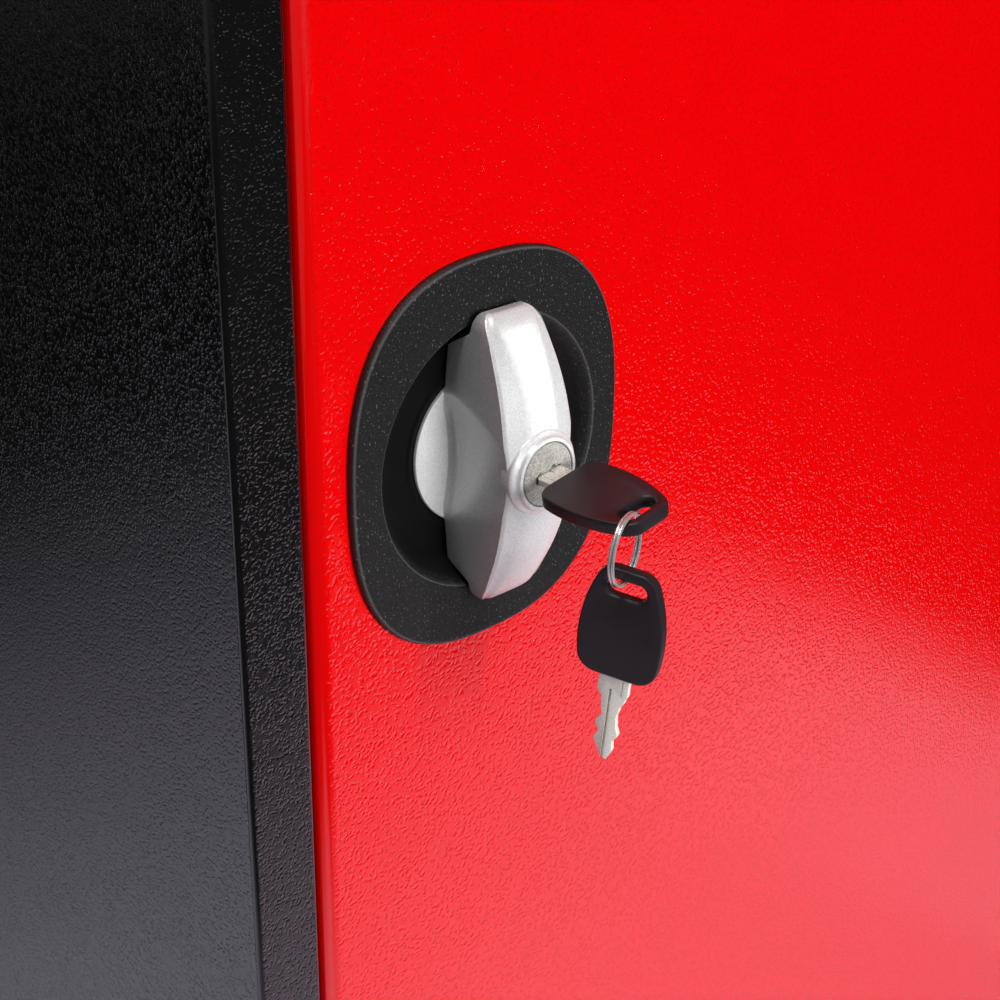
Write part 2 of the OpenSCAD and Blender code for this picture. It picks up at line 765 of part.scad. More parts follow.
module cam_plate() {
  arm = cam_pin_r + 2.5;
  color("silver") at_lock() translate([0, cam_back, 0]) rotate([90, 0, 0])
    linear_extrude(cam_t) difference() {
      union() {
        circle(spindle_w);
        for (p = cam_at) translate([p[0], p[2]]) circle(arm);
        rotate(-45) square([2 * cam_throw, 2 * arm - 1], center = true);
      }
      square(spindle_w, center = true);
      for (p = cam_at) translate([p[0], p[2]]) circle(cam_pin_r);
    }
}

module cam_pins() {
  color("silver") at_lock() for (p = cam_at) translate(p) bar_y(cam_pin_r, cam_y, rod_back - 0.2);
}

module cam_screw() {
  head = 4.6;
  color("silver") at_lock() {
    turned([[0, bolt_y + bolt_t + 1.5], [2, bolt_y + bolt_t + 1.5], [2, cam_back],
            [spindle_w / 2 + 2, cam_back], [spindle_w / 2 + 2, cam_back + 0.4], [head, cam_back + 0.4],
            [head, cam_back + 1.6], [head - 1.2, cam_back + 2.6], [0, cam_back + 2.6]]);
  }
}

// Rods

// A flat rod from its fork at the cam to its end in the door's fold, drawn for the upper one.
module locking_rod() {
  pin_z = -cam_throw * sin(45);
  tail = cam_pin_r + rod_gap + 4;
  difference() {
    box([cam_throw - rod_w / 2, rod_y, pin_z - tail], [cam_throw + rod_w / 2, rod_back, rod_reach]);
    box([0, rod_y - overcut, pin_z - cam_pin_r - rod_gap],
        [cam_throw + cam_pin_r + rod_gap, rod_back + overcut, pin_z + cam_pin_r + rod_gap]);
  }
}

module upper_rod() {
  color("silver") at_lock() locking_rod();
}

module lower_rod() {
  color("silver") at_lock() rotate([0, 180, 0]) locking_rod();
}

// A guide block on the door's skin that the rod runs through.
module rod_guide() {
  guide_w = rod_w + 12;
  guide_h = 16;
  top = rod_reach - door_hem - 12;
  difference() {
    box([cam_throw - guide_w / 2, sheet, top - guide_h], [cam_throw + guide_w / 2, rod_back + 2, top]);
    box([cam_throw - rod_w / 2 - free_gap, rod_y - free_gap, top - guide_h - overcut],
        [cam_throw + rod_w / 2 + free_gap, rod_back + free_gap, top + overcut]);
  }
}

module upper_rod_guide() {
  color("#202022") at_lock() rod_guide();
}

module lower_rod_guide() {
  color("#202022") at_lock() rotate([0, 180, 0]) rod_guide();
}

// Plug and keys

keyway_w = shoulder_w + 2 * free_gap;
keyway_t = blade_t + 2 * free_gap;

module lock_plug() {
  color("#a8a8a6") at_lock() difference() {
    union() {
      turned([[0, -lock_out], [head_r - 0.5, -lock_out], [head_r, 0.5 - lock_out],
              [head_r, head_t - lock_out], [plug_r, head_t - lock_out], [plug_r, tail_y],
              [tail_r, tail_y], [tail_r, bolt_y - 0.5], [0, bolt_y - 0.5]]);
      translate(tail_throw * [cos(tail_at), 0, sin(tail_at)]) bar_y(tail_pin_r, tail_y, bolt_y + bolt_t);
    }
    rotate([0, -key_angle, 0]) box([-keyway_w / 2, -lock_out - overcut, -keyway_t / 2],
                                   [keyway_w / 2, blade_l - bow_y + 2, keyway_t / 2]);
  }
}

// Keys lie along +Y in their own frame, blade below y = 0 and bow above, flat in XY.
tang_w = 7;
tang_l = 12;
cuts_left = [0.7, 1.1, 1.65, 0, 1.2, 0.2];
cuts_right = [0, 1.3, 1.9, 1.6, 0.7, 2.1];
first_cut = bow_gap + 1.4;
cut_step = (blade_l - first_cut - 6.4) / (len(cuts_left) - 1);

// One edge of the blade: tang, shoulder, a flat at each cut and the tip.
function blade_edge(cuts) = concat(
  [[tang_w / 2, tang_l], [tang_w / 2, 0], [shoulder_w / 2, 0], [shoulder_w / 2, 0.6 - bow_gap]],
  [for (i = [0 : len(cuts) - 1], e = [0.45, -0.45]) [blade_w / 2 - cuts[i], e - first_cut - i * cut_step]],
  [[blade_w / 2 - 1.8, 3.4 - blade_l], [1, -blade_l]]);

module blade() {
  left = blade_edge(cuts_left);
  groove = 0.5;
  groove_w = 1.2;
  difference() {
    translate([0, 0, -blade_t / 2]) linear_extrude(blade_t)
      polygon(concat(blade_edge(cuts_right), [for (i = [len(left) - 1 : -1 : 0]) [-left[i][0], left[i][1]]]));
    for (s = [-1, 1])
      translate([-s * groove_w / 2 - groove_w / 2, -blade_l - overcut, s * blade_t / 2 - groove])
        cube([groove_w, blade_l - 4.4 + overcut, 2 * groove]);
  }
}

// Half width of the bow, with bowed sides and round corners.
bow_arc = 52;
bow_widest = 13.2;
bow_foot = 5;
bow_head = 3.5;
function bow_half(t) =
  let (low = max(bow_foot - t, 0), high = max(t - bow_l + bow_head, 0))
  sqrt(bow_arc * bow_arc - pow(t - bow_widest, 2)) - bow_arc + bow_w / 2
  - bow_foot + sqrt(bow_foot * bow_foot - low * low) - bow_head + sqrt(bow_head * bow_head - high * high);
bow_steps = concat([for (a = [0 : 22.5 : 90]) bow_foot * (1 - cos(a))], [for (t = [8 : 5 : bow_l - 6]) t],
                   [for (a = [90 : -22.5 : 0]) bow_l - bow_head * (1 - cos(a))]);
function bow_ring(inset, z) =
  let (k = 1 - 2 * inset / bow_w, j = 1 - 2 * inset / bow_l,
       side = [for (t = bow_steps) [k * bow_half(t), inset + j * t, z]])
  concat(side, [for (i = [len(side) - 1 : -1 : 0]) [-side[i][0], side[i][1], z]]);

module bow() {
  round = 0.9;
  difference() {
    loft([for (a = [-90 : 30 : 90])
      bow_ring(round * (1 - cos(a)), sign(a) * (bow_t / 2 - round) + round * sin(a))]);
    translate([0, slot_t, -bow_t]) linear_extrude(2 * bow_t) {
      square([slot_w - slot_h, slot_h], center = true);
      for (s = [-1, 1]) translate([s * (slot_w - slot_h) / 2, 0]) circle(slot_h / 2);
    }
    box([-tang_w / 2, -overcut, -blade_t / 2], [tang_w / 2, tang_l, blade_t / 2]);
  }
}

// The key in the lock points into the door, with its flat near level.
module at_key() {
  at_lock() rotate([0, -key_angle, 0]) translate([0, -bow_y, 0]) rotate([180, 0, 0]) children();
}

module key_blade() {
  color("#c9c6bd") at_key() blade();
}

module key_bow() {
  color("#191919") at_key() bow();
}

// A split ring of two close turns through both bows.
module key_ring() {
  color("#d0d0d0") at_lock() translate(ring_c) rotate([0, 0, ring_turn]) rotate([90, 0, 0])
    rotate_extrude() for (s = [-1, 1]) translate([ring_r, s * wire_r * 0.9]) circle(wire_r);
}

// The second key hangs by its slot from the bottom of the ring.
module at_spare() {
  hang = wire_r + 0.7;
  at_lock() translate(ring_c - [0, 0, ring_r]) rotate([0, 0, -spare_turn]) rotate([90, 0, 0])
    rotate([0, 0, -spare_lean]) translate([spare_shift, hang - slot_t - slot_h / 2, 0]) children();
}

module spare_key_blade() {
  color("#c9c6bd") at_spare() blade();
}

module spare_key_bow() {
  color("#191919") at_spare() bow();
}

left_side_panel();
right_side_panel();
top_panel();
bottom_panel();
back_panel();
shelf_strips_left();
shelf_strips_right();
shelf_clips();
door_stops();
upper_hinge_pin();
lower_hinge_pin();
lower_hinge_washer();
for (i = [1 : shelf_count])
  shelf(i);
for (r = [0 : shelf_count], c = [1 : bin_cols])
  bin(r, c);
door_panel();
door_stiffener();
hinge_bushes();
lock_escutcheon();
lock_case();
case_screws();
upper_rod_guide();
lower_rod_guide();
upper_rod();
lower_rod();
turn_handle();
lock_barrel();
lock_bolt();
cam_plate();
cam_pins();
cam_screw();
lock_plug();
key_blade();
key_bow();
key_ring();
spare_key_blade();
spare_key_bow();
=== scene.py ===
# %% [markdown]
# # A small parts cabinet, dressed
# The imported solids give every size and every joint. This script keeps them as a fixed frame and
# gives each piece the finish of the real cabinet: grained powder coat, moulded plastic, a painted
# die-cast handle and nickel keys. Pieces that are round or fine to look at are made again here
# with more faces, in the same place as the solid that they stand for.

# %% The frame
import json
import math
import bpy
import bmesh
from mathutils import Matrix, Vector

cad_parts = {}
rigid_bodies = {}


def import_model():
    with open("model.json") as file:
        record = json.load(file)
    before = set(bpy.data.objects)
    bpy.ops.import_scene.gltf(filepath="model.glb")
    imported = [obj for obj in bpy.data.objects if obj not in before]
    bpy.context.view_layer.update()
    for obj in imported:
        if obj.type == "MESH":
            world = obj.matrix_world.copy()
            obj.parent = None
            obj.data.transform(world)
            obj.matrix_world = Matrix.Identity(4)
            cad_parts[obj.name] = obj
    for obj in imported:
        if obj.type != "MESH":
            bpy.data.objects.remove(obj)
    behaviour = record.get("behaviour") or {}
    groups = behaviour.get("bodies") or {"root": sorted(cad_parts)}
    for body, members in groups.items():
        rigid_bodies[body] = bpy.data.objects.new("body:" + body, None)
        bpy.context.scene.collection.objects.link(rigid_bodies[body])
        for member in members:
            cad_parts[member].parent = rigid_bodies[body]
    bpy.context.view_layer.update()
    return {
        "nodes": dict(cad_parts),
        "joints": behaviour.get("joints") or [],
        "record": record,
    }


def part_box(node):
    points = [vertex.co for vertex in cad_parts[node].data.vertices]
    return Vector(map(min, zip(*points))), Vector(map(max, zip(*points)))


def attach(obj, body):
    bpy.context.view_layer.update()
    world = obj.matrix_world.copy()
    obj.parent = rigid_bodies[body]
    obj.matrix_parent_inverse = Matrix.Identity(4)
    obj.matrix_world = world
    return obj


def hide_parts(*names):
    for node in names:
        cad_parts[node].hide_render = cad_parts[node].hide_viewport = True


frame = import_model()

joints = {j["name"]: j for j in frame["joints"]}
lock = Vector(joints["handle_turn"]["pos_m"])
MM = 0.001

# %% [markdown]
# ## The camera
# The picture looks down on the lock from the left of the door. The three angles and the lens were
# found from straight edges whose real directions are known: the door's edge is upright, and the
# bend of the side panel runs beside it.

# %% Camera
turn, dip, roll = (math.radians(a) for a in (43.763, 25.23, 0.863))
ahead = Vector((math.sin(turn) * math.cos(dip), math.cos(turn) * math.cos(dip), -math.sin(dip)))
level = Vector((math.cos(turn), -math.sin(turn), 0))
over = level.cross(ahead)
right = math.cos(roll) * level + math.sin(roll) * over
upward = math.cos(roll) * over - math.sin(roll) * level

camera = bpy.data.objects.new("camera", bpy.data.cameras.new("camera"))
camera.data.lens, camera.data.sensor_width = 64.13, 36
camera.data.clip_start, camera.data.clip_end = 0.01, 50
view = Matrix((right, upward, -ahead)).transposed().to_4x4()
view.translation = eye = Vector((-0.558, -0.5273, 0.7257))
camera.matrix_world = view
bpy.context.scene.collection.objects.link(camera)
bpy.context.scene.camera = camera
print("camera at", tuple(round(v, 3) for v in eye))

# %% [markdown]
# ## Shader maths as Python
# A finish is a small sum: so much grain, so much wear, a little dust. Written as nodes by hand such
# sums are long, so one class wraps a socket and lets Python's own operators add the Math nodes.


# %% Sockets that can be added and multiplied
def feed(tree, value, slot):
    """Links a wire to a socket, or sets the socket to a plain value."""
    if isinstance(value, Wire):
        tree.links.new(value.socket, slot)
    else:
        slot.default_value = value


class Wire:
    """A node's output, which can be used in sums."""

    def __init__(self, tree, socket):
        self.tree, self.socket = tree, socket

    def math(self, operation, first, second=0.0, clamp=False):
        node = self.tree.nodes.new("ShaderNodeMath")
        node.operation, node.use_clamp = operation, clamp
        for slot, value in zip(node.inputs, (first, second)):
            feed(self.tree, value, slot)
        return Wire(self.tree, node.outputs[0])

    def __add__(self, other): return self.math("ADD", self, other)
    def __radd__(self, other): return self.math("ADD", other, self)
    def __sub__(self, other): return self.math("SUBTRACT", self, other)
    def __rsub__(self, other): return self.math("SUBTRACT", other, self)
    def __mul__(self, other): return self.math("MULTIPLY", self, other)
    def __rmul__(self, other): return self.math("MULTIPLY", other, self)
    def __pow__(self, other): return self.math("POWER", self, other)

    def over(self, low, high):
        """0 up to low, 1 from high on, and a straight rise between."""
        return self.math("MULTIPLY", self - low, 1 / (high - low), clamp=True)


# %% Finishes
class Finish:
    """A material with a Principled shader, and one method that adds any node."""

    def __init__(self, name, **sockets):
        self.material = bpy.data.materials.new(name)
        self.material.use_nodes = True
        self.tree = self.material.node_tree
        self.tree.nodes.clear()
        self.shader = self.add("ShaderNodeBsdfPrincipled", {}, **sockets).socket.node
        self.add("ShaderNodeOutputMaterial", {}, Surface=Wire(self.tree, self.shader.outputs[0]))
        self.place = self.add("ShaderNodeTexCoord", {}, out="Object")

    def add(self, kind, settings, out=0, **sockets):
        node = self.tree.nodes.new(kind)
        for key, value in settings.items():
            if key == "stops":
                for stop, (at, colour) in zip(node.color_ramp.elements, value):
                    stop.position, stop.color = at, colour
            else:
                setattr(node, key, value)
        self.set(node, **sockets)
        return Wire(self.tree, node.outputs[out]) if node.outputs else None

    def set(self, node, **sockets):
        for name, value in sockets.items():
            feed(self.tree, value, node.inputs[name.replace("_", " ")])

    def noise(self, size, detail=2.0, stretch=None, rough=0.5):
        """Noise whose lumps are about size metres across."""
        where = self.place
        if stretch:
            where = self.add("ShaderNodeMapping", {}, Vector=where, Scale=stretch)
        return self.add("ShaderNodeTexNoise", {}, Vector=where, Scale=1 / size,
                        Detail=detail, Roughness=rough)

    def cells(self, size, feature="SMOOTH_F1"):
        """Cells about size metres across, 0 in the middle of each."""
        rounding = {"Smoothness": 0.6} if feature == "SMOOTH_F1" else {}
        return self.add("ShaderNodeTexVoronoi", {"feature": feature}, Vector=self.place,
                        Scale=1 / size, **rounding)

    def facing(self, axis):
        """How far the surface faces along an axis of its own object, from -1 to 1."""
        normal = self.add("ShaderNodeTexCoord", {}, out="Normal")
        return self.add("ShaderNodeSeparateXYZ", {}, out=axis, Vector=normal)

    def bump(self, height, distance):
        return self.add("ShaderNodeBump", {}, Height=height, Distance=distance, Strength=1.0)

    def mix(self, share, first, second):
        """A colour between two; a Mix node's sockets share names, so they go by number."""
        factor, from_colour, to_colour, result = 0, 6, 7, 2
        node = self.tree.nodes.new("ShaderNodeMix")
        node.data_type = "RGBA"
        for at, value in ((factor, share), (from_colour, first), (to_colour, second)):
            feed(self.tree, value, node.inputs[at])
        return Wire(self.tree, node.outputs[result])

    def use(self, **sockets):
        self.set(self.shader, **sockets)
        return self.material


def grey(v):
    return (v, v, v, 1)


# %% [markdown]
# ## Powder coat
# Both the door and the frame are sprayed with a coat that shrinks to a leather grain as it bakes.
# The grain is a bump: soft cells one or two millimetres wide, pulled out of round by noise, with a
# finer orange peel on top. An image of a grain would repeat and would need a flat layout, and cells
# need neither. The colour is painted darker in the grain's pits, painted shade, and the grain shows
# most where light glances off it, as on the real door. On the bends, where a face looks along none of
# the axes, the grain fades and the colour takes the pits' darker tone, painted shade along the bends.


# %% Door red and frame black
def powder_coat(name, colour, deep, grain, height, rough):
    coat = Finish(name, IOR=1.8, Specular_IOR_Level=0.9)
    lumps = coat.add("ShaderNodeTexNoise", {}, out="Color", Vector=coat.place,
                     Scale=0.55 / grain, Detail=1.0)
    pull = (grain * 1.6,) * 3
    warp = coat.add("ShaderNodeVectorMath", {"operation": "MULTIPLY_ADD"})
    for slot, value in zip(warp.socket.node.inputs, (lumps, pull, coat.place)):
        feed(coat.tree, value, slot)
    coat.place = warp
    plateau = coat.cells(grain).over(0.10, 0.50)
    peel = coat.noise(grain * 0.45, detail=1.5)
    wander = coat.noise(grain * 9, detail=2.0)
    flat = sum(coat.facing(axis) ** 8 for axis in "XYZ").over(0.75, 0.97)
    relief = (plateau * (0.5 + 0.8 * wander) + peel * 0.3) * flat
    # painted shade: where the relief is low, in the pits and on the bends, the colour turns to deep
    coat.use(Base_Color=coat.mix(relief.over(0.25, 1.0), deep, colour),
             Roughness=rough + 0.05 * peel, Normal=coat.bump(relief, height))
    return coat.material


door_red = powder_coat("door_red", (0.72, 0.0004, 0.001, 1), (0.64, 0.0003, 0.0008, 1),
                       grain=0.0017, height=0.00016, rough=0.08)
frame_black = powder_coat("frame_black", grey(0.0042), grey(0.0032),
                          grain=0.0012, height=0.00021, rough=0.10)
print("powder coats", door_red.name, frame_black.name)

# %% [markdown]
# ## Plastics
# The handle plate is moulded in a tool that was spark-eroded, which leaves a fine even grain. Bright
# points are painted on the flange as glints, painted highlights. The bowl is painted darker than the
# flange, painted shade in the recess, and the crest of the rolled edge carries a painted highlight.
# The key bows come from a smoother tool. Nylon, the bins and the rod guides are plain mouldings with a
# slight waviness.

# %% Mouldings
plate = Finish("plate_black")
spark = plate.noise(0.00042, detail=3.0, rough=0.7)
# painted glints: bright points in the flange's colour
painted_glints = plate.noise(0.0007, detail=0.0).over(0.70, 0.80)
sunk = plate.add("ShaderNodeSeparateXYZ", {}, out="Y", Vector=plate.place) - (lock.y - 3 * MM)
# painted shade: the bowl behind the flange's face is coloured darker than the flange
outside_bowl_shade = 1 - sunk.over(0, 4 * MM)
slope = -1 * plate.facing("Y")
# painted highlight: a paler band along the crest of the rolled edge, where it turns away from the front
crest = 1 - sunk.over(0.2 * MM, 1.2 * MM)
painted_crest_highlight = crest * slope.over(0.55, 0.72) * (1 - slope.over(0.84, 0.95))
flange_tone = plate.mix(spark.over(0.3, 0.7), grey(0.006), grey(0.021))
skin = plate.mix(outside_bowl_shade, grey(0.0030), flange_tone)
skin = plate.mix(painted_crest_highlight * 0.6, skin, grey(0.10))
plate_black = plate.use(Base_Color=plate.mix(painted_glints * outside_bowl_shade * 0.7, skin, grey(0.13)),
                        Roughness=0.42 + 0.22 * spark, Normal=plate.bump(spark, 0.00012))

bow = Finish("bow_black")
haze = bow.noise(0.006, detail=3.0)
bow_tone = bow.mix(haze, (0.0140, 0.0110, 0.0130, 1), (0.0220, 0.0180, 0.0205, 1))
bow_black = bow.use(Base_Color=bow_tone, Roughness=0.38 + 0.14 * haze,
                    Normal=bow.bump(bow.noise(0.0006, detail=2.0), 0.00003))

nylon = Finish("nylon_white", Subsurface_Weight=0.1)
nylon_tone = nylon.mix(nylon.noise(0.004), (0.72, 0.71, 0.67, 1), (0.80, 0.79, 0.75, 1))
nylon_white = nylon.use(Base_Color=nylon_tone, Roughness=0.45 + 0.1 * nylon.noise(0.001))

guide = Finish("guide_black")
guide_black = guide.use(Base_Color=guide.mix(guide.noise(0.003), grey(0.012), grey(0.02)),
                        Roughness=0.5 + 0.15 * guide.noise(0.001),
                        Normal=guide.bump(guide.noise(0.0008), 0.00005))

bin_red = Finish("bin_red")
flow = bin_red.noise(0.03, detail=3.0)
scuff = bin_red.noise(0.0012, detail=4.0, stretch=(1, 6, 1)).over(0.62, 0.78)
bin_tone = bin_red.mix(flow, (0.40, 0.006, 0.008, 1), (0.50, 0.012, 0.014, 1))
bin_plastic = bin_red.use(Base_Color=bin_tone, Roughness=0.28 + 0.16 * flow + 0.2 * scuff,
                          Normal=bin_red.bump(bin_red.noise(0.0009, detail=2.0), 0.00004))
print("mouldings made")

# %% [markdown]
# ## Metals
# The handle is a zinc casting under silver paint: the flakes make it sparkle grain by grain, so the
# roughness and the normal change from point to point. The lock's face is sintered and plated, so it
# is pitted. Keys are stamped and show the lines of the mill, and the ring is drawn wire.

# %% Silver paint, nickel, zinc and wire
silver = Finish("handle_silver", Metallic=0.38)
flakes = silver.add("ShaderNodeTexVoronoi", {"feature": "F1"}, out="Color",
                    Vector=silver.place, Scale=1 / 0.00034)
flake = silver.add("ShaderNodeSeparateColor", {}, Color=flakes)
cloud = silver.noise(0.0011, detail=3.0)
handle_silver = silver.use(Base_Color=silver.mix(flake, grey(0.64), (0.80, 0.80, 0.805, 1)),
                           Roughness=0.28 + 0.12 * flake,
                           Normal=silver.bump(flake * 0.6 + cloud * 0.8, 0.00005))

cast = Finish("lock_nickel", Metallic=0.5)
pits = cast.noise(0.00055, detail=3.0, rough=0.7)
lock_tone = cast.mix(pits.over(0.3, 0.7), (0.27, 0.26, 0.235, 1), (0.76, 0.74, 0.69, 1))
lock_nickel = cast.use(Base_Color=lock_tone, Roughness=0.34 + 0.16 * pits,
                       Normal=cast.bump(pits, 0.00012))

stamped = Finish("key_nickel", Metallic=0.25)
milled = stamped.noise(0.0009, detail=3.0, stretch=(1, 1, 9))
smear = stamped.noise(0.004, detail=2.0)
key_tone = stamped.mix(smear, (0.93, 0.89, 0.79, 1), (1.0, 0.97, 0.89, 1))
key_nickel = stamped.use(Base_Color=key_tone, Roughness=0.20 + 0.16 * milled,
                         Normal=stamped.bump(milled, 0.00001))

drawn = Finish("ring_steel", Metallic=0.75)
ring_steel = drawn.use(Base_Color=drawn.mix(drawn.noise(0.002), grey(0.72), grey(0.90)),
                       Roughness=0.16 + 0.12 * drawn.noise(0.0006, detail=2.0))

plated = Finish("zinc", Metallic=1.0)
spangle = plated.cells(0.006, feature="F1")
wipe = plated.noise(0.0015, detail=3.0, stretch=(7, 1, 1))
zinc_tone = plated.mix(spangle.over(0.0, 0.8), (0.50, 0.52, 0.56, 1), (0.64, 0.65, 0.66, 1))
zinc = plated.use(Base_Color=zinc_tone, Roughness=0.28 + 0.14 * wipe,
                  Normal=plated.bump(wipe, 0.00003))

shelf = Finish("shelf_grey")
dust = shelf.noise(0.02, detail=3.0)
shelf_grey = shelf.use(Base_Color=shelf.mix(dust, grey(0.026), (0.036, 0.036, 0.038, 1)),
                       Roughness=0.42 + 0.12 * dust,
                       Normal=shelf.bump(shelf.noise(0.0011, detail=2.0), 0.00006))
print("metals made")

# %% [markdown]
# ## Tools for making meshes
# Most pieces are rings joined by quads: a lathe turns one profile into rings, and a loft takes any
# rings with equally many points. Sizes are in millimetres and turn to metres when the piece is
# made, so the numbers read like a drawing.


# %% Rings, lofts and finished pieces
def join_rings(bm, rings, closed=False):
    """Quads between rings of (x, y, z) in millimetres; the ends are capped, or joined if closed."""
    rows = [[bm.verts.new(Vector(p) * MM) for p in ring] for ring in rings]
    n = len(rows[0])
    for a, b in zip(rows, rows[1:] + rows[:1] if closed else rows[1:]):
        for i in range(n):
            bm.faces.new((a[i], a[(i + 1) % n], b[(i + 1) % n], b[i]))
    if not closed:
        bm.faces.new(rows[0])
        bm.faces.new(rows[-1])
    return bm


def circle(r, y, n=96):
    return [(r * math.cos(k * math.tau / n), y, r * math.sin(k * math.tau / n)) for k in range(n)]


def lathe(bm, profile, closed=False, n=96):
    """Turns a profile of (radius, y) about the lock's axis."""
    return join_rings(bm, [circle(r, y, n) for r, y in profile], closed)


def block(bm, low, high):
    (x0, y0, z0), (x1, y1, z1) = low, high
    return join_rings(bm, [[(x0, y0, z), (x1, y0, z), (x1, y1, z), (x0, y1, z)] for z in (z0, z1)])


# %% From a bmesh to a finished piece
CREASE = 32  # degrees; a sharper edge than this is shaded sharp


def add_object(name, mesh):
    obj = bpy.data.objects.new(name, mesh)
    bpy.context.scene.collection.objects.link(obj)
    return obj


def mesh_of(name, bm):
    mesh = bpy.data.meshes.new(name)
    bm.to_mesh(mesh)
    bm.free()
    return mesh


def to_object(name, bm, move=None):
    """A mesh object at the origin from a bmesh, with its faces turned outwards."""
    if move is not None:
        bm.transform(move)
    bmesh.ops.recalc_face_normals(bm, faces=bm.faces)
    return add_object(name, mesh_of(name, bm))


def settle(obj):
    """Replaces an object's mesh by the result of its modifiers."""
    graph = bpy.context.evaluated_depsgraph_get()
    mesh = bpy.data.meshes.new_from_object(obj.evaluated_get(graph))
    obj.modifiers.clear()
    old, obj.data = obj.data, mesh
    bpy.data.meshes.remove(old)
    return obj


def carve(obj, *cutters):
    """Cuts other objects out of a piece, and deletes them."""
    for cutter in cutters:
        cut = obj.modifiers.new("cut", "BOOLEAN")
        cut.operation, cut.solver, cut.object = "DIFFERENCE", "EXACT", cutter
    settle(obj)
    for cutter in cutters:
        bpy.data.objects.remove(cutter)
    return obj


def soften(obj, width, segments=2, angle=35):
    """Rounds the edges of a piece."""
    edge = obj.modifiers.new("edge", "BEVEL")
    edge.width, edge.segments, edge.limit_method = width * MM, segments, "ANGLE"
    edge.angle_limit = math.radians(angle)
    return settle(obj)


def shade(obj, crease=CREASE):
    obj.data.shade_smooth()
    obj.data.set_sharp_from_angle(angle=math.radians(crease))


def keep_flats(obj):
    """Turns the normals along a bend towards the large faces, so that a flat stays flat."""
    shade(obj)
    large = obj.modifiers.new("large_faces_first", "WEIGHTED_NORMAL")
    large.mode, large.weight, large.keep_sharp = "FACE_AREA", 100, True
    return settle(obj)


def finish_piece(obj, body, material, slot, *nodes, crease=CREASE, shaded=False):
    """Shades a piece, gives it its finish, hangs it on its body and hides the solids it stands for."""
    obj.data.materials.clear()
    obj.data.materials.append(material)
    if not shaded:
        shade(obj, crease)
    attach(obj, body)
    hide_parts(*nodes)
    print(obj.name, "for", ", ".join(nodes) if len(nodes) < 4 else f"{len(nodes)} nodes",
          "with", len(obj.data.polygons), "faces")
    return obj


def turned_by(degrees, axis):
    return Matrix.Rotation(math.radians(degrees), 4, axis)


def moved_by(x, y, z):
    return Matrix.Translation((x * MM, y * MM, z * MM))


at_lock = Matrix.Translation(lock)
print("pieces round the lock are made about", tuple(round(v, 4) for v in lock))

# %% [markdown]
# ## Folded sheet
# The frame, the door and the shelves are folded from sheet steel, and the solids already have the
# bends. A copy of each solid is welded into one skin and shaded smooth across the bends, so that a
# bend shows as a soft line of light and not as a row of flats. The normals are weighted by area, so
# the flats themselves stay flat. The door's front edges roll over more widely than the solid's bends
# do, so those bends are opened by moving their points outwards along the bend's own radius.


# %% Sheet steel pieces
def welded(node, name, triangles=False):
    bm = bmesh.new()
    bm.from_mesh(frame["nodes"][node].data)
    bmesh.ops.remove_doubles(bm, verts=bm.verts, dist=2e-6)
    bmesh.ops.dissolve_limit(bm, angle_limit=math.radians(0.5), verts=bm.verts, edges=bm.edges)
    if triangles:
        bmesh.ops.triangulate(bm, faces=bm.faces)
    return add_object(name, mesh_of(name, bm))


def finish_flat(obj, body, material, slot, node):
    finish_piece(keep_flats(obj), body, material, slot, node, shaded=True)


for node in ("left_side_panel", "right_side_panel", "top_panel", "bottom_panel", "back_panel",
             "door_stops"):
    finish_flat(welded(node, node + "_coat"), "cabinet", frame_black, "black_paint", node)
for node in ["shelf_strips_left", "shelf_strips_right"] + [f"shelf_{i}" for i in range(1, 5)]:
    finish_flat(welded(node, node + "_coat"), "cabinet", shelf_grey, "grey_paint", node)

# %% The door
SHEET, BEND = 1.0, 2.0  # thickness of the steel, and its outside radius at a bend
TOUCH, ON_BEND = 1e-3, 0.02  # how near a point has to be to lie in a bend's corner, and on it


def ease_bends(obj, extra):
    """Lets the door's folded front edges turn over a wider radius than the solid's."""
    low, high = (Vector(c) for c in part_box("door_panel"))
    for v in obj.data.vertices:
        deep = (v.co.y - low.y) / MM
        for axis in (0, 2):
            into = min(v.co[axis] - low[axis], high[axis] - v.co[axis]) / MM
            r = math.hypot(BEND - into, BEND - deep)
            off = min(abs(r - BEND), abs(r - BEND + SHEET))
            if max(into, deep) > BEND + TOUCH or off > ON_BEND:
                continue
            k = (r + extra) / r
            new = BEND + extra - (BEND - into) * k
            side = 1 if v.co[axis] - low[axis] < high[axis] - v.co[axis] else -1
            v.co[axis] = (low[axis] if side > 0 else high[axis]) + side * new * MM
            v.co.y = low.y + (BEND + extra - (BEND - deep) * k) * MM
    return obj


pan = ease_bends(welded("door_panel", "door_panel_coat", triangles=True), extra=4.0)
rib = welded("door_stiffener", "door_stiffener_coat")
finish_flat(pan, "door", door_red, "red_paint", "door_panel")
finish_flat(rib, "door", door_red, "red_paint", "door_stiffener")

# %% [markdown]
# ## The handle plate
# The plate is one moulding: an oval flange with a rolled edge lies on the door, and a bowl sinks
# through it so that fingers reach behind the grip. The outer rings are a squared oval and the inner
# ones are circles, and the flat flange lies between, so one loft makes the whole of it.


# %% Rings of the plate
PLATE_W, PLATE_H, SQUARED = 113.5, 130.0, 2.53  # the oval's width, height and exponent
FACE, ROLL = -3.2, 2.0  # the flange's face in front of the door, and the radius of its rolled edge
BOTTOM, BACK = 5.5, 7.7  # the bowl's floor, and the back of its wall


def oval(inset, y, n=192):
    ring, power = [], 2 / SQUARED
    for k in range(n):
        c, s = math.cos(k * math.tau / n), math.sin(k * math.tau / n)
        ring.append((math.copysign(abs(c) ** power, c) * (PLATE_W / 2 - inset), y,
                     math.copysign(abs(s) ** power, s) * (PLATE_H / 2 - inset)))
    return ring


def round_like(ring, r, y):
    """A circle whose points lie on the same spokes as a ring's."""
    return [(r * x / math.hypot(x, z), y, r * z / math.hypot(x, z)) for x, _, z in ring]


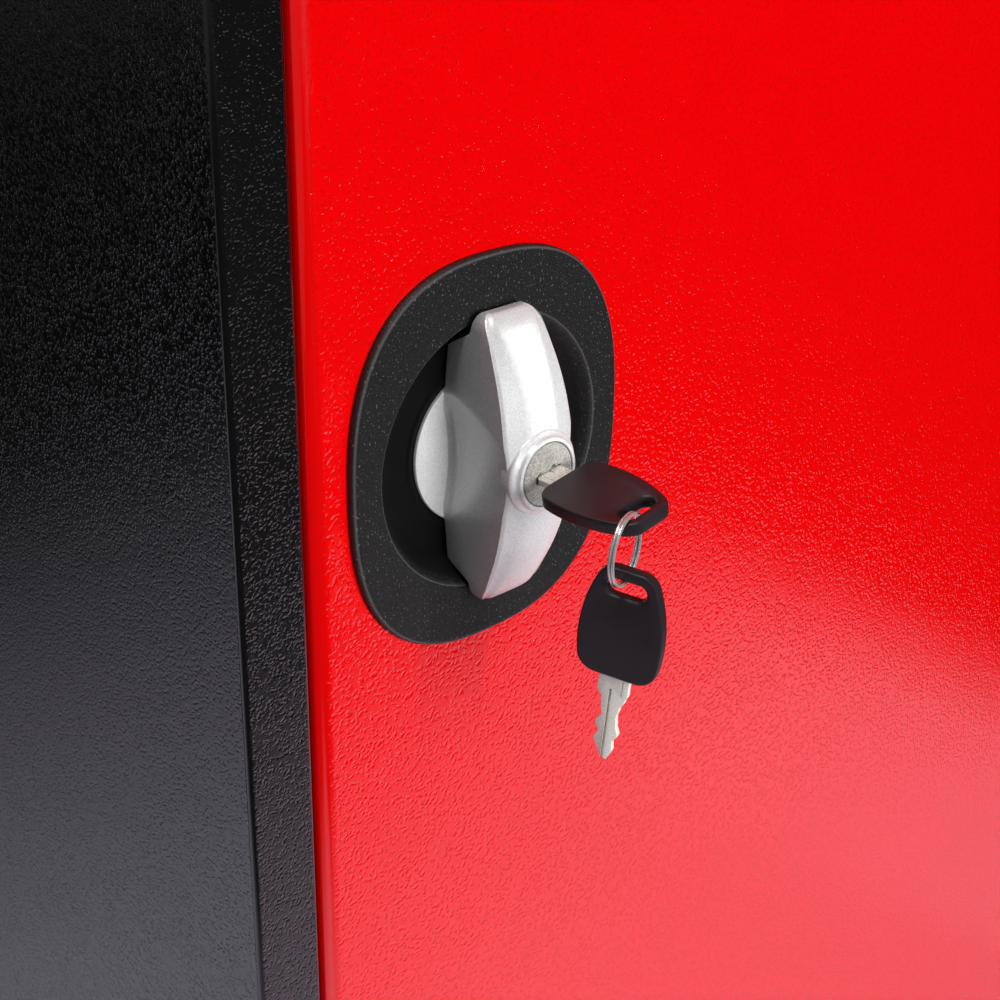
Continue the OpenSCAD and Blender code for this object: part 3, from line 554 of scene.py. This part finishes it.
rim = oval(0, 0)
rolled = [oval(ROLL * (1 - math.cos(a)), FACE + ROLL - ROLL * math.sin(a))
          for a in (math.radians(9 * k) for k in range(11))]
flat_out, flat_in = oval(2.6, FACE), round_like(rim, 47.4, FACE)
flange = [[tuple(Vector(p).lerp(Vector(q), t)) for p, q in zip(flat_out, flat_in)]
          for t in (0, 0.1, 0.5, 0.9)]
lip = [(46.4, FACE), (45.95, -3.12), (45.6, -2.9), (45.35, -2.5), (44.9, -2.0)]
wall = [(42, 1.55), (39.0, 4.3), (38.5, 4.85), (37.9, 5.25), (37.1, 5.45), (36, BOTTOM)]
bead = [(29.2, BOTTOM), (28.8, 5.42), (28.5, 5.1), (28.1, 4.97), (27.2, 4.95), (26.9, 5.05),
        (26.75, BOTTOM), (20, BOTTOM), (15.1, BOTTOM)]
rear = [(15.1, BACK), (37.5, BACK), (38.4, 7.3), (40.2, 5.5), (44.0, 0.9), (44.6, 0.05)]
plate_rings = [oval(1.2, 0.0), oval(0.15, -0.05), oval(0, -0.25)] + rolled + flange
plate_rings += [flat_in] + [round_like(rim, r, y) for r, y in lip + wall + bead + rear]
plate_piece = to_object("handle_plate", join_rings(bmesh.new(), plate_rings, closed=True), at_lock)
finish_piece(plate_piece, "door", plate_black, "black_plastic", "lock_escutcheon", crease=40)

# %% Bearing sleeve and screw posts
POST_X, POST_Z = 36, 42  # the posts' places beside and above the lock's axis
sleeve = bmesh.new()
lathe(sleeve, [(12.05, BOTTOM), (15.05, BOTTOM), (15.05, 11.4), (14.75, 11.7), (12.35, 11.7),
               (12.05, 11.4)], closed=True)
sleeve_piece = to_object("plate_sleeve", sleeve, at_lock)
for low, high in (((0, 6.7, -5.1), (17, 10.3, 5.1)), ((-5.1, 6.7, 0), (5.1, 10.3, 17))):
    carve(sleeve_piece, to_object("notch", block(bmesh.new(), low, high), at_lock))

posts = bmesh.new()
post_profile = [(1.6, 0), (4.2, 0), (4.2, 8.7), (4.0, 9), (1.6, 9)]
for x in (-POST_X, POST_X):
    for z in (-POST_Z, POST_Z):
        post = lathe(bmesh.new(), post_profile, closed=True, n=32)
        post.transform(moved_by(x, 0, z))
        posts.from_mesh(mesh_of("post", post))
posts_piece = to_object("plate_posts", posts, at_lock)

for part in (sleeve_piece, posts_piece):
    finish_piece(part, "door", plate_black, "black_plastic", "lock_escutcheon")

# %% [markdown]
# ## The turn handle
# The grip is a casting with a bowed front, hollowed sides and stepped heels that clear the bowl. One
# section is drawn as a function of the height along the grip. Cutting the corners of that section
# twice rounds its edges as the casting's are, and the sections are then joined from end to end.

# %% Grip sections
GRIP, OUT, BOWED = 97.0, 25.0, 82.6  # length, how far the edges stand out, radius of the bowed front
WIDE, END_WIDE, END = 29.2, 23.2, 5.0  # width at the middle and near the ends, length of an end's round
HOLLOW, WAIST, DRAFT = 61.5, 27.0, 3.3  # radius of the hollow sides, least width, narrowing to the disc
HEEL, HEEL_RUN, DISC_FACE = 36.4, 6.2, 4.0  # where a heel starts, its length, and the disc's face
FILLET = 3.4  # radius where the grip meets the disc


def clamp(v):
    return min(max(v, 0), 1)


def heel(z):
    """The back of the grip, which steps forward at the heels to clear the bowl."""
    t = clamp((abs(z) - HEEL) / HEEL_RUN)
    t = 0.6 * t + 0.4 * t * t * (3 - 2 * t)
    return 4.6 - 9.4 * t


def half_width(y, z):
    outline = WIDE / 2 - (WIDE - END_WIDE) / 2 * (abs(z) / (GRIP / 2 - END)) ** 2
    r = HOLLOW + DRAFT * (y + OUT) / (DISC_FACE + OUT)
    hollow = HOLLOW + WAIST / 2 - math.sqrt(max(r * r - z * z, 1))
    over_disc = clamp((23 - abs(z)) / 6)
    d = max(DISC_FACE - y, 0)
    fillet = FILLET - math.sqrt(max(FILLET ** 2 - (FILLET - d) ** 2, 0)) if d < FILLET else 0
    return min(outline, hollow) + over_disc * fillet


def cut_corners(ring, times):
    for _ in range(times):
        out = []
        for (ax, ay), (bx, by) in zip(ring, ring[1:] + ring[:1]):
            out += [((1 - t) * ax + t * bx, (1 - t) * ay + t * by) for t in (0.25, 0.75)]
        ring = out
    return ring


def section(z):
    """The grip's outline at a height: back, hollow side, edge, bevel and raised face."""
    past = max(abs(z) - GRIP / 2 + END, 0) / END
    full = math.sqrt(max(1 - past * past, 0))
    kx, ky = 0.68 + 0.32 * full, 0.45 + 0.55 * full
    front = -OUT + BOWED - math.sqrt(BOWED ** 2 - z * z)
    back, face = heel(z), 6.4 + 1.4 * (2 * z / GRIP) ** 2
    mid, edge = (back + front) / 2, half_width(front, z)
    side = []
    for t in (0, 0.04, 0.1, 0.18, 0.3, 0.45, 0.6, 0.75, 0.9, 0.955):
        y = back + t * (front - back)
        side.append((-half_width(y, z) - 0.2 * math.sin(math.pi * t), y))
    left = [(side[0][0] + 1.2, back), *side, (-edge, front + 1.3), (0.75 - edge, front + 0.5),
            (1.5 - edge, front + 0.25), (-face - 0.7, front - 1.1), (0.8 - face, front - 1.35),
            (-face / 2, front - 1.5)]
    ring = left + [(-x, y) for x, y in reversed(left)]
    return [(x * kx, mid + (y - mid) * ky, z) for x, y in cut_corners(ring, 2)]


heights = [HEEL * k / 22 for k in range(22)] + [HEEL + 6.6 * k / 12 for k in range(12)]
heights += [GRIP / 2 - END + END * math.sin(math.radians(6 * k)) for k in range(16)]
heights = [-z for z in heights[:0:-1]] + heights
sections = join_rings(bmesh.new(), [section(z) for z in heights])
grip = to_object("turn_handle_grip", sections, at_lock)
bore = lathe(bmesh.new(), [(10.6, -40), (10.6, -8), (9.25, -8), (9.25, 9)])
carve(grip, to_object("bore", bore, at_lock))
print("grip sections", len(heights))

# %% Disc, hub, collar and spindle
disc_profile = [(9.25, DISC_FACE), (25.6, DISC_FACE), (25.95, 4.1), (26.1, 4.35), (26.1, 5.2),
                (11.9, 5.2), (11.9, 6.9), (4.6, 6.9), (4.6, DISC_FACE)]
collar_profile = [(10.6, -20), (10.6, -27.75), (10.85, -28), (11.45, -28), (11.8, -27.85),
                  (12.0, -27.4), (12.1, -26.95), (12.35, -26.55), (12.8, -26.2), (13.3, -25.95),
                  (13.8, -25.5), (14.0, -24.6), (13.6, -21)]
turned = lathe(bmesh.new(), disc_profile, closed=True, n=144)
disc = to_object("turn_handle_disc", lathe(turned, collar_profile, closed=True, n=120), at_lock)

hub_profile = [(2, 11.0), (2, 15), (5.4, 15), (5.4, 12), (11.9, 12), (11.9, 10.15), (11.9, 6.9),
               (2.4, 6.9), (2.0, 7.0)]
hub_piece = to_object("turn_handle_hub", lathe(bmesh.new(), hub_profile, closed=True), at_lock)
bolt_way = block(bmesh.new(), (-8, 6.85, -5), (14, 10.15, 5))
carve(hub_piece, to_object("bolt_way", bolt_way, at_lock))
square = block(bmesh.new(), (-5.5, 11.8, -5.5), (5.5, 14.8, 5.5))
spindle = soften(to_object("turn_handle_spindle", square, at_lock), 0.4)

finish_piece(grip, "handle", handle_silver, "silver_paint", "turn_handle", crease=50)
for part in (disc, hub_piece, spindle):
    finish_piece(part, "handle", handle_silver, "silver_paint", "turn_handle", crease=38)

# %% [markdown]
# ## The lock
# The plug's face is a plain turned head with a keyway that only one section of key can enter, so its
# outline has wards. It is cut from the plug with a prism of that outline, turned to the key's angle.


# %% Plug and barrel
def prism(outline, low, high):
    """An outline in x and z, drawn out along y."""
    return join_rings(bmesh.new(), [[(x, y, z) for x, z in outline] for y in (low, high)])


KEY_ANGLE = 10  # degrees that the key stands above level, as in the picture
at_key = at_lock @ turned_by(-KEY_ANGLE, "Y")
LOCK_FACE = -28  # the plug's face, in front of the door
plug_profile = [(9.6, LOCK_FACE), (10.05, -27.9), (10.3, -27.6), (10.3, -26.2), (8.95, -26.2),
                (8.95, 3.5), (4.2, 3.5), (4.2, 6.5)]
plug = to_object("lock_plug_turned", lathe(bmesh.new(), plug_profile), at_lock)
wards = [(-5.3, -1.4), (-3.4, -1.4), (-3.1, -2.0), (-1.9, -2.0), (-1.5, -1.4), (-0.6, -1.4),
         (-0.5, -1.0), (0.5, -1.0), (0.6, -1.4), (5.3, -1.4), (5.3, 1.4), (3.5, 1.5), (3.0, 2.4),
         (1.7, 2.3), (1.3, 1.4), (0.6, 1.4), (0.5, 1.0), (-0.5, 1.0), (-0.6, 1.4), (-2.4, 1.4),
         (-2.9, 2.1), (-4.2, 2.0), (-4.6, 1.4), (-5.3, 1.4)]
carve(plug, to_object("keyway", prism(wards, -30, -2.6), at_key))
finish_piece(plug, "plug", lock_nickel, "lock_nickel", "lock_plug")

barrel_profile = [(9.0, -25.7), (9.3, -26), (10.5, -26), (10.6, -25.8), (10.6, -8), (9.0, -8)]
barrel = to_object("lock_barrel_turned", lathe(bmesh.new(), barrel_profile, closed=True), at_lock)
finish_piece(barrel, "handle", lock_nickel, "lock_nickel", "lock_barrel")

# %% [markdown]
# ## Keys
# Each key is a stamped blade in a moulded bow. The blade's outline has the cuts on both edges, a
# groove runs down each face, and the bow is a pillow-shaped loft with a rounded slot for the ring.

# %% Blade
BOW_GAP, BLADE, BLADE_T = 6.6, 30.0, 2.2  # bow to lock, length of the blade, its thickness
cuts = {-1: (0.7, 1.1, 1.65, 0, 1.2, 0.2), 1: (0, 1.3, 1.9, 1.6, 0.7, 2.1)}  # depths, by edge


def blade_edge(side):
    first = BOW_GAP + 1.4
    step = (BLADE - first - 6.4) / 5
    edge = [(3.5, 12), (3.5, 0), (5, 0), (5, 0.6 - BOW_GAP)]
    for i, deep in enumerate(cuts[side]):
        edge += [(4.2 - deep, e - first - i * step) for e in (0.45, -0.45)]
    return [(side * x, y) for x, y in edge + [(2.4, 3.4 - BLADE), (1, -BLADE)]]


def blade_mesh(place, name):
    outline = blade_edge(1) + blade_edge(-1)[::-1]
    faces = [[(x, y, z) for x, y in outline] for z in (-BLADE_T / 2, BLADE_T / 2)]
    blade = soften(to_object(name, join_rings(bmesh.new(), faces)), 0.14, angle=25)
    for s in (-1, 1):
        at, face = -s * 0.6, s * BLADE_T / 2
        groove = block(bmesh.new(), (at - 0.45, -BLADE - 1, face - 0.85),
                       (at + 0.45, -4.4, face + 0.5))
        at = s * 3.0
        fine = block(bmesh.new(), (at - 0.25, -BOW_GAP + 0.4, face - 0.25),
                     (at + 0.25, -0.2, face + 0.25))
        carve(blade, to_object("groove", groove), to_object("fine", fine))
    blade.data.transform(place)
    return blade


# %% Bow
BOW, BOW_W, SLOT = 37.0, 27.2, 30.55  # length, greatest width, and the slot's place along the bow
SLOT_W, SLOT_H = 13.0, 5.3
SWELL, WIDEST = 52.0, 13.2  # radius of the bow's sides, and where they are widest
NEAR_R, FAR_R, EDGE_R = 5.0, 3.5, 0.9  # radii of the corners by the lock, the far corners, the edges


def corner(r, past):
    """How much a round corner takes off, past its start."""
    return math.sqrt(max(r * r - past * past, 0)) - r


def bow_half(t):
    """Half the bow's width at a distance along it."""
    side = math.sqrt(SWELL ** 2 - (t - WIDEST) ** 2) - SWELL + BOW_W / 2
    return side + corner(NEAR_R, max(NEAR_R - t, 0)) + corner(FAR_R, max(t - BOW + FAR_R, 0))


def stadium(length, height, z, y, n=12):
    ends = []
    for s in (1, -1):
        for k in range(n + 1):
            a, r = math.radians(-90 + 180 * k / n), height / 2
            ends.append((s * (length / 2 - r + r * math.cos(a)), y + s * r * math.sin(a), z))
    return ends


def bow_mesh(place, name):
    along = [NEAR_R * (1 - math.cos(math.radians(a))) for a in range(0, 91, 9)]
    along += [6 + 26.5 * k / 16 for k in range(17)]
    along += [BOW - FAR_R * (1 - math.cos(math.radians(a))) for a in range(90, -1, -9)]
    rings = []
    for a in range(-90, 91, 10):
        inset = EDGE_R * (1 - math.cos(math.radians(a)))
        z = math.copysign(1.35, a) * (a != 0) + EDGE_R * math.sin(math.radians(a))
        wide, tall = 1 - 2 * inset / BOW_W, 1 - 2 * inset / BOW
        edge = [(wide * bow_half(t), inset + tall * t, z) for t in along]
        rings.append(edge + [(-x, y, z) for x, y, z in reversed(edge)])
    bow_piece = to_object(name, join_rings(bmesh.new(), rings))
    mouth = [(3, 1.7), (2.25, 1.05), (1.9, 0.5), (1.4, 0.12), (0.9, 0)]
    spread = mouth + [(-z, w) for z, w in reversed(mouth)]
    slot = [stadium(SLOT_W + 2 * w, SLOT_H + 2 * w, z, SLOT) for z, w in spread]
    carve(bow_piece, to_object("slot", join_rings(bmesh.new(), slot)))
    seat = block(bmesh.new(), (-3.5, -1, -BLADE_T / 2), (3.5, 12, BLADE_T / 2))
    carve(bow_piece, to_object("seat", seat))
    bow_piece.data.transform(place)
    return bow_piece


# %% A key in the lock and a key on the ring
RING_R = 11  # radius of the ring at the middle of its wire
in_lock = at_key @ moved_by(0, LOCK_FACE - BOW_GAP, 0) @ turned_by(180, "X")
ring_at = Vector(joints["spare_slide"]["pos_m"])
hanging = (Matrix.Translation(ring_at) @ moved_by(0, 0, -RING_R) @ turned_by(-70, "Z")
           @ turned_by(90, "X") @ turned_by(-5, "Z")
           @ moved_by(1.6, 0.62 + 0.7 - SLOT - SLOT_H / 2, 0))
for place, body_name, prefix in ((in_lock, "key", ""), (hanging, "spare_key", "spare_")):
    blade = blade_mesh(place, prefix + "key_blade_stamped")
    finish_piece(blade, body_name, key_nickel, "key_nickel", prefix + "key_blade")
    grasp = bow_mesh(place, prefix + "key_bow_moulded")
    finish_piece(grasp, body_name, bow_black, "bow_plastic", prefix + "key_bow", crease=40)

# %% [markdown]
# ## Geometry Nodes for what repeats
# A split ring is one wire wound twice, and the screws and the bins are the same thing many times
# over. They could be modelled once and copied by hand, but a small node tree with named sizes says
# the rule itself. The trees end by realising their copies, and the result is kept as a plain mesh.


# %% A helper for node trees
class Tree:
    """A Geometry Nodes tree whose inputs are named sizes."""

    def __init__(self, name, **sizes):
        self.group = bpy.data.node_groups.new(name, "GeometryNodeTree")
        self.sizes, self.ids = sizes, {}
        for key, value in sizes.items():
            kind = {int: "Int", float: "Float"}.get(type(value), "Vector")
            self.ids[key] = self.socket(key, "INPUT", kind).identifier
        self.socket("Geometry", "OUTPUT", "Geometry")
        self.given = self.group.nodes.new("NodeGroupInput")
        self.out = self.group.nodes.new("NodeGroupOutput")

    def socket(self, name, side, kind):
        return self.group.interface.new_socket(name, in_out=side, socket_type="NodeSocket" + kind)

    def size(self, key):
        return self.given.outputs[key]

    def add(self, kind, settings=None, **sockets):
        node = self.group.nodes.new(kind)
        for key, value in (settings or {}).items():
            setattr(node, key, value)
        for key, value in sockets.items():
            slot = node.inputs[key.replace("_", " ")]
            if isinstance(value, bpy.types.NodeSocket):
                self.group.links.new(value, slot)
            else:
                slot.default_value = value
        return node

    def make(self, name, last, material):
        """Runs the tree and keeps what it made as a plain mesh at the origin."""
        real = self.add("GeometryNodeRealizeInstances", Geometry=last)
        coat = self.add("GeometryNodeSetMaterial", Geometry=real.outputs[0], Material=material)
        self.group.links.new(coat.outputs[0], self.out.inputs[0])
        obj = add_object(name, bpy.data.meshes.new(name))
        run = obj.modifiers.new("tree", "NODES")
        run.node_group = self.group
        for key, value in self.sizes.items():
            run[self.ids[key]] = value
        return settle(obj)


# %% The split ring
PITCH, RING_TURN, WIRE_END = 1.06, 20, 35  # mm a turn, degrees from the door's plane and to the end
ring_tree = Tree("split_ring", turns=2.0, radius=RING_R * MM, pitch=PITCH * MM, wire=0.54 * MM)
turns, radius = ring_tree.size("turns"), ring_tree.size("radius")
rise = ring_tree.add("ShaderNodeMath", {"operation": "MULTIPLY"})
for socket, slot in zip((ring_tree.size("pitch"), turns), rise.inputs):
    ring_tree.group.links.new(socket, slot)
wound = ring_tree.add("GeometryNodeCurveSpiral", Resolution=96, Rotations=turns,
                      Start_Radius=radius, End_Radius=radius, Height=rise.outputs[0])
wire = ring_tree.add("GeometryNodeCurvePrimitiveCircle", Resolution=14,
                     Radius=ring_tree.size("wire"))
tube = ring_tree.add("GeometryNodeCurveToMesh", Curve=wound.outputs[0],
                     Profile_Curve=wire.outputs[0], Fill_Caps=True)
key_ring = ring_tree.make("key_ring_wound", tube.outputs[0], ring_steel)
key_ring.data.transform(Matrix.Translation(ring_at) @ turned_by(RING_TURN, "Z") @ turned_by(90, "X")
                        @ moved_by(0, 0, -PITCH) @ turned_by(WIRE_END, "Z"))
finish_piece(key_ring, "key_ring", ring_steel, "ring_steel", "key_ring", crease=60)

# %% [markdown]
# ## Bins and screws
# These are one thing repeated at even steps, so one tree serves both: a column of points is copied
# along a row, the lowest point of each column may be moved by itself, and the piece is put on every
# point. The lowest bins stand on the bottom panel, so they alone are off the even step.


# %% A lattice of copies
def lattice(name, piece, material, columns, rows, across, up, first=(0, 0, 0)):
    tree = Tree(name + "_lattice", columns=columns, rows=rows, across=across, up=up, first=first)
    column = tree.add("GeometryNodeMeshLine", Count=tree.size("rows"), Offset=tree.size("up"))
    number = tree.add("GeometryNodeInputIndex")
    lowest = tree.add("FunctionNodeCompare", {"data_type": "INT", "operation": "EQUAL"})
    tree.group.links.new(number.outputs[0], lowest.inputs[2])
    moved = tree.add("GeometryNodeSetPosition", Geometry=column.outputs[0], Selection=lowest.outputs[0],
                     Offset=tree.size("first"))
    row = tree.add("GeometryNodeMeshLine", Count=tree.size("columns"), Offset=tree.size("across"))
    points = tree.add("GeometryNodeInstanceOnPoints", Points=row.outputs[0], Instance=moved.outputs[0])
    real = tree.add("GeometryNodeRealizeInstances", Geometry=points.outputs[0])
    source = tree.add("GeometryNodeObjectInfo", Object=piece)
    copies = tree.add("GeometryNodeInstanceOnPoints", Points=real.outputs[0],
                      Instance=source.outputs["Geometry"])
    made = tree.make(name, copies.outputs[0], material)
    bpy.data.objects.remove(piece)
    return made


def step_between(first, second):
    """How far one node's box is from another's."""
    (a, _), (b, _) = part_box(first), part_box(second)
    return Vector([round(q - p, 6) for p, q in zip(a, b)])


# %% Bins
COLUMNS, ROWS = 4, 5
one_bin = soften(welded("bin_1_1", "one_bin"), 0.5, angle=30)
across, up = step_between("bin_1_1", "bin_1_2"), step_between("bin_2_1", "bin_3_1")
drop = up - step_between("bin_1_1", "bin_2_1")
one_bin.data.transform(Matrix.Translation(-drop))
bins = lattice("bins_moulded", one_bin, bin_plastic, COLUMNS, ROWS, tuple(across), tuple(up),
               tuple(drop))
bin_nodes = [f"bin_{r + 1}_{c + 1}" for r in range(ROWS) for c in range(COLUMNS)]
finish_piece(bins, "cabinet", bin_plastic, "bin_plastic", *bin_nodes)

# %% Case screws with a cross recess
screw_profile = [(0.9, 0), (1.6, 0.7), (1.6, 11), (3.8, 11), (3.8, 11.8), (3.65, 12.2), (3.2, 12.7),
                 (2.5, 13.1), (1.2, 13.2)]
at_screw = at_lock @ moved_by(-POST_X, 0, -POST_Z)
one_screw = to_object("one_screw", lathe(bmesh.new(), screw_profile, n=48), at_screw)
for x, z in ((2.3, 0.5), (0.5, 2.3)):
    cross = block(bmesh.new(), (-x, 11.9, -z), (x, 14, z))
    carve(one_screw, to_object("cross", cross, at_screw))
screws = lattice("case_screws_turned", one_screw, zinc, 2, 2, (2 * POST_X * MM, 0, 0),
                 (0, 0, 2 * POST_Z * MM))
finish_piece(screws, "door", zinc, "zinc", "case_screws")

# %% [markdown]
# ## Hinges, clips and the works behind the door
# The rest is stamped, turned or moulded, and hidden until the door is open. A copy of each solid is
# welded and its edges are broken, as a tumbled stamping's are.

# %% Works
slot_of = {part["node"]: part["material_slot"] for part in frame["record"]["subparts"]}
works = {
    "cabinet": {"shelf_clips": zinc, "upper_hinge_pin": zinc, "lower_hinge_pin": zinc,
                "lower_hinge_washer": nylon_white},
    "door": {"hinge_bushes": nylon_white, "lock_case": zinc, "upper_rod_guide": guide_black,
             "lower_rod_guide": guide_black},
    "upper_rod": {"upper_rod": zinc},
    "lower_rod": {"lower_rod": zinc},
    "lock_bolt": {"lock_bolt": zinc},
    "handle": {"cam_plate": zinc, "cam_pins": zinc, "cam_screw": zinc},
}
for body_name, group in works.items():
    for node, material in group.items():
        piece = soften(welded(node, node + "_edged"), 0.25)
        finish_flat(piece, body_name, material, slot_of[node], node)

# %% [markdown]
# ## The floor
# The pink sheen low on the door is the floor, mirrored in the door's coat. In reflections and in the
# light that it sends back, the floor carries a painted pool of light: its colour is pale near the
# cabinet and painted dark beyond it, painted shade. The camera itself sees a plain pale floor and
# backdrop: the Light Path node tells the two kinds of ray apart.

# %% Floor
FLOOR_REACH, FLOOR_DROP = 3, 0.0005  # metres from the middle to an edge, and below the cabinet
pale = Finish("floor_pale")
along, back = (pale.add("ShaderNodeSeparateXYZ", {}, out=axis, Vector=pale.place) for axis in "XY")
in_front = (back + 0.3 * along).over(-0.74, -0.34)
near = in_front * (1 - back.over(0.25, 0.95)) * (1 - along.over(0.5, 0.62))
seen = pale.add("ShaderNodeLightPath", {}, out="Is Camera Ray")
# painted pool of light: pale near the cabinet and painted shade, near black, beyond it, for every ray
# but the camera's
painted_light_pool = pale.mix(near * (0.97 + 0.06 * pale.noise(0.5)), grey(0.004), (0.66, 0.625, 0.75, 1))
pale.use(Base_Color=pale.mix(seen, painted_light_pool, grey(0.72)), Roughness=0.6 + 0.1 * pale.noise(0.2))
sheet = bmesh.new()
bmesh.ops.create_grid(sheet, x_segments=1, y_segments=1, size=1)
floor = to_object("floor", sheet, Matrix.Translation((0, 0, -FLOOR_DROP))
                  @ Matrix.Diagonal((FLOOR_REACH, FLOOR_REACH, 1, 1)))
floor.data.materials.append(pale.material)
print("floor", 2 * FLOOR_REACH, "m wide")

# %% [markdown]
# ## Lamps
# A wide key lamp stands straight in front, so the grip's sides stay in shade. It is hidden from
# reflections, as a lamp behind crossed polarisers is: otherwise each grain of the coat would glint.
# A tall strip on the right, kept on the handle, draws the bright band down the grip's front, and a
# weak lamp on the left lifts the disc behind it. One lamp lights the floor, a small one picks out the
# edges from the left, and one behind shows the back.


# %% Lamps
def lamp(name, place, aim, size, power):
    light = bpy.data.lights.new(name, "AREA")
    light.shape, light.size, light.size_y, light.energy = "RECTANGLE", size[0], size[1], power
    obj = bpy.data.objects.new(name, light)
    obj.location = place
    obj.rotation_euler = (Vector(aim) - Vector(place)).to_track_quat("-Z", "Y").to_euler()
    bpy.context.scene.collection.objects.link(obj)
    return obj


def shine_only_on(light, *pieces):
    """Keeps a small lamp on some pieces, as a snoot or a flag does in a studio."""
    light.light_linking.receiver_collection = bpy.data.collections.new(light.name + "_on")
    for piece in pieces:
        light.light_linking.receiver_collection.objects.link(piece)


key_light = lamp("key_light", (0.0, -2.4, 0.88), lock, (1.0, 1.0), 76)
key_light.visible_glossy = False
lamp("floor_light", (-0.6, -0.25, 2.1), (-0.6, -0.2, 0), (0.6, 0.6), 11)
strip_light = lamp("strip_light", (0.42, -0.80, 0.60), lock, (0.22, 1.0), 2.4)
shine_only_on(strip_light, grip, disc, plug)
disc_light = lamp("disc_light", (-1.0, -1.6, 0.9), lock, (0.6, 0.6), 5)
shine_only_on(disc_light, disc)
lamp("edge_light", (-1.2, -1.2, 2.2), lock, (0.3, 0.3), 1.5)
lamp("back_light", (0.9, 2.5, 1.8), (0, 0.1, 0.5), (1.2, 1.2), 26)
print("lamps", len(bpy.data.lights))

# %% World
DIM, WALL, BACKDROP = 0.005, 0.085, 0.7  # the studio, its left wall, and what the camera sees
studio = bpy.data.worlds.new("studio")
bpy.context.scene.world = studio
studio.use_nodes = True
sky = studio.node_tree
toward = sky.nodes.new("ShaderNodeTexCoord").outputs["Generated"]
apart = sky.nodes.new("ShaderNodeSeparateXYZ")
sky.links.new(toward, apart.inputs[0])
left_wall = (Wire(sky, apart.outputs["X"]) * -1.0).over(-0.2, 1.0)
dim = DIM + WALL * left_wall
seen = Wire(sky, sky.nodes.new("ShaderNodeLightPath").outputs["Is Camera Ray"])
backdrop = sky.nodes["Background"]
feed(sky, dim + seen * (BACKDROP - dim), backdrop.inputs["Strength"])
feed(sky, grey(1.0), backdrop.inputs["Color"])
bpy.context.scene.view_settings.view_transform = "Standard"
print("world", studio.name)
